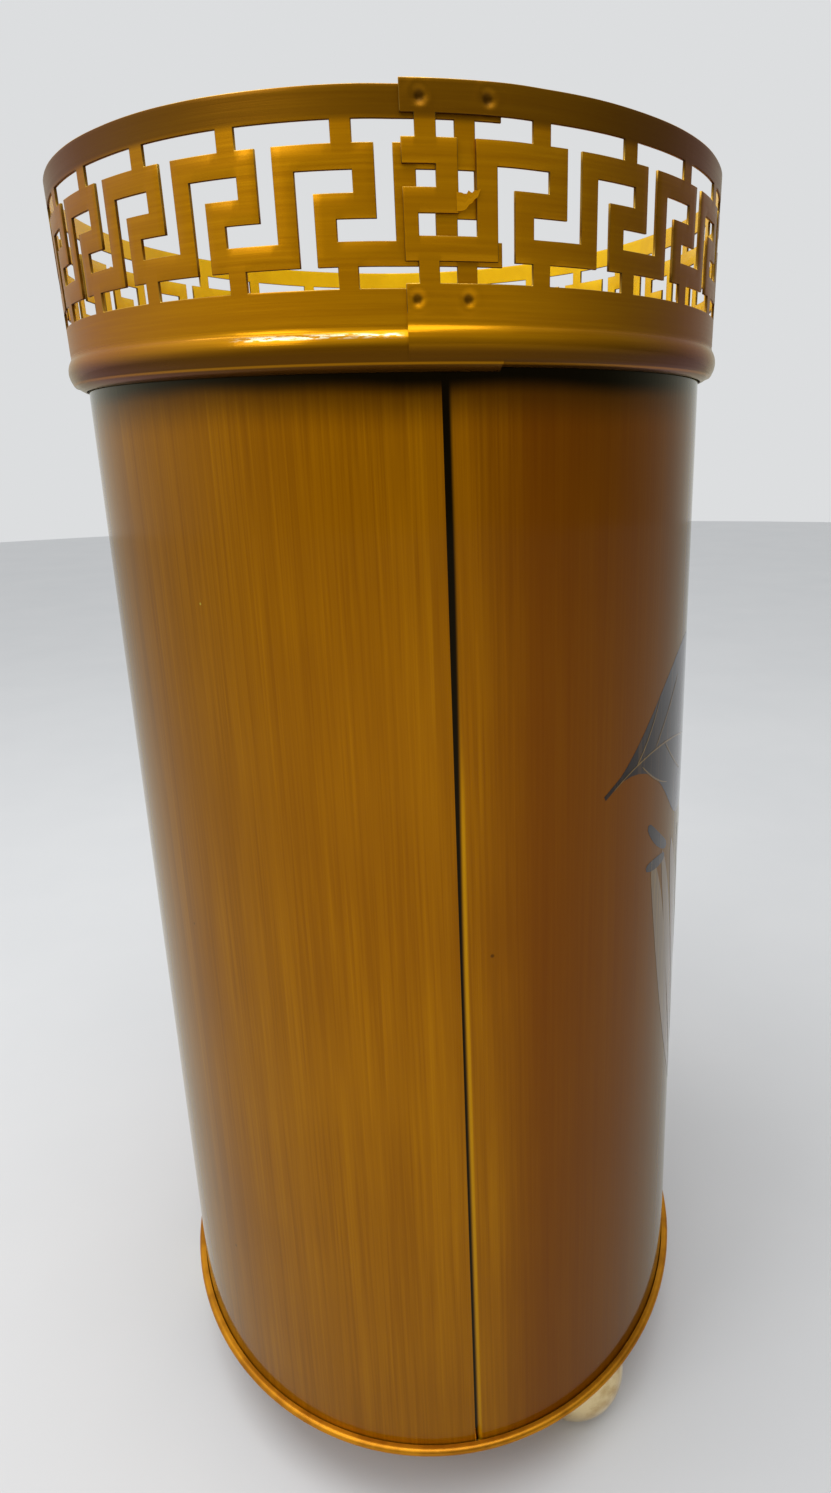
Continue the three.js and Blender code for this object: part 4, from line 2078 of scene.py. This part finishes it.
@dataclass
class Studio:
    """The floor, the soft lights and the camera.

    The lens is in millimetres and all other lengths are in metres. The lights' strengths are those of the
    pale world, as glossy surfaces see it in front, behind and above, and as matt ones see it all round.
    """

    focus: Vector
    eye: Vector = field(default_factory=lambda: Vector((-0.0275, -0.3951, 0.3849)))
    aim: Vector = field(default_factory=lambda: Vector((0.149, 0.9397, -0.3079)))
    roll: float = -0.0181
    lens: float = 23.53
    shift: float = -0.0538
    floor_radius: float = 4.0
    front_light: float = 0.12
    back_light: float = 0.74
    all_round: float = 0.8
    sky_light: float = 1.05

    def floor(self) -> bpy.types.Object:
        """A plain pale floor.

        Returns:
            The floor.
        """
        work = bmesh.new()
        bmesh.ops.create_circle(work, cap_ends=True, segments=96, radius=self.floor_radius)
        mesh = bpy.data.meshes.new("floor")
        work.to_mesh(mesh)
        work.free()
        piece = placed("floor", mesh)
        paint = bpy.data.materials.new("floor")
        bench = NodeBench(paint, "Principled BSDF")
        place = bench.add("TexCoord").outputs["Object"]
        mixed = bench.blend(bench.noise(place, 6.0), colour(0.6, 0.61, 0.62), colour(0.66, 0.665, 0.67))
        bench.surface({"Base Color": mixed, "Roughness": 0.75})
        piece.data.materials.append(paint)
        piece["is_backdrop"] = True
        return piece

    def softbox(
        self, name: str, place: tuple[float, float, float], size: tuple[float, float], watts: float
    ) -> None:
        """A soft light that faces the stand.

        Args:
            name: its name.
            place: where it hangs.
            size: its two sides.
            watts: its power.
        """
        light = bpy.data.lights.new(name, "AREA")
        light.shape = "RECTANGLE"
        light.size, light.size_y = size
        light.energy = watts
        lamp = bpy.data.objects.new(name, light)
        lamp.location = place
        lamp.rotation_euler = (self.focus - Vector(place)).to_track_quat("-Z", "Y").to_euler()
        bpy.context.scene.collection.objects.link(lamp)

    def surroundings(self) -> None:
        """A pale world: dim in front of the stand for glossy surfaces, bright behind it and above."""
        bpy.context.scene.view_settings.view_transform = "Standard"
        world = bpy.data.worlds.new("surroundings")
        bench = NodeBench(world, "Background")
        sight = bench.add("TexCoord").outputs["Generated"]
        behind, above = (
            bench.add("VectorMath", {0: sight, 1: way}, operation="DOT_PRODUCT").outputs["Value"]
            for way in ((-0.4, 0.9, 0.0), (-0.35, 0.0, 0.9))
        )
        far = {"From Min": -0.55, "From Max": 0.5, "To Min": self.front_light, "To Max": self.back_light}
        sky = {"From Min": 0.25, "From Max": 0.8, "To Max": self.sky_light}
        glossy = bench.maths(
            "MAXIMUM",
            bench.add("MapRange", {"Value": behind, **far}).outputs[0],
            bench.add("MapRange", {"Value": above, **sky}).outputs[0],
        )
        ray = bench.add("LightPath").outputs
        soft = bench.add("Mix", {0: ray["Is Diffuse Ray"], 2: glossy, 3: self.all_round}).outputs[0]
        strength = bench.add("Mix", {0: ray["Is Camera Ray"], 2: soft, 3: self.back_light}).outputs[0]
        bench.surface({"Color": colour(0.97, 0.985, 1.0), "Strength": strength})
        bpy.context.scene.world = world

    def camera(self) -> None:
        """The camera, close to the stand and a little below its top, tilted down."""
        data = bpy.data.cameras.new("camera")
        data.lens = self.lens
        data.sensor_width = 36.0
        data.shift_x = self.shift
        cam = bpy.data.objects.new("camera", data)
        back = -self.aim.normalized()
        right = Vector((0.0, 0.0, 1.0)).cross(back).normalized()
        up = back.cross(right)
        c, s = math.cos(self.roll), math.sin(self.roll)
        turned_right = c * right + s * up
        turned_up = -s * right + c * up
        cam.matrix_world = Matrix((turned_right, turned_up, back)).transposed().to_4x4()
        cam.location = self.eye
        bpy.context.scene.collection.objects.link(cam)
        bpy.context.scene.camera = cam

    def build(self) -> None:
        """Sets up the floor, the lights and the camera."""
        self.floor()
        self.surroundings()
        self.softbox("overhead", (-0.25, -0.2, 1.35), (1.5, 0.7), 10.0)
        self.softbox("left", (-1.1, -0.8, 1.25), (0.6, 0.6), 4.0)
        self.camera()


# ---- the stand -----------------------------------------------------------------------------------------


def main() -> None:
    """Loads the frame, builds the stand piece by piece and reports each."""
    logging.basicConfig(level=logging.INFO, format="%(message)s")
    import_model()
    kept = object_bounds()
    body_low, body_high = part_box("body_tube")
    pan_low, pan_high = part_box("base_pan")
    _, gallery_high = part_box("gallery_band")
    oval = Oval(round(pan_high.x - FOLD_REACH, 4), round(pan_high.y - FOLD_REACH, 4))
    girth = Girth(oval, 0.0)
    bead_centre = body_high.z - Body.curl_radius

    body = Body(girth, body_low.z, bead_centre)
    gallery = Gallery(oval, gallery_high.z - Gallery.lap_raise - CLEAR_TOP, bead_centre)
    pieces = [body.build(), gallery.build(), Burr(gallery).build(), Pan(girth, pan_low.z).build()]
    for number in (1, 2, 3):
        pieces.extend(Foot(number).build())
    pieces.extend(PrintedSpray(body).build())
    for piece in pieces:
        LOG.info("%s: %d faces", piece.name, len(piece.data.polygons))
    Studio(Vector((0.0, 0.0, (kept[0].z + kept[1].z) / 2.0))).build()


if __name__ == "__main__":
    main()
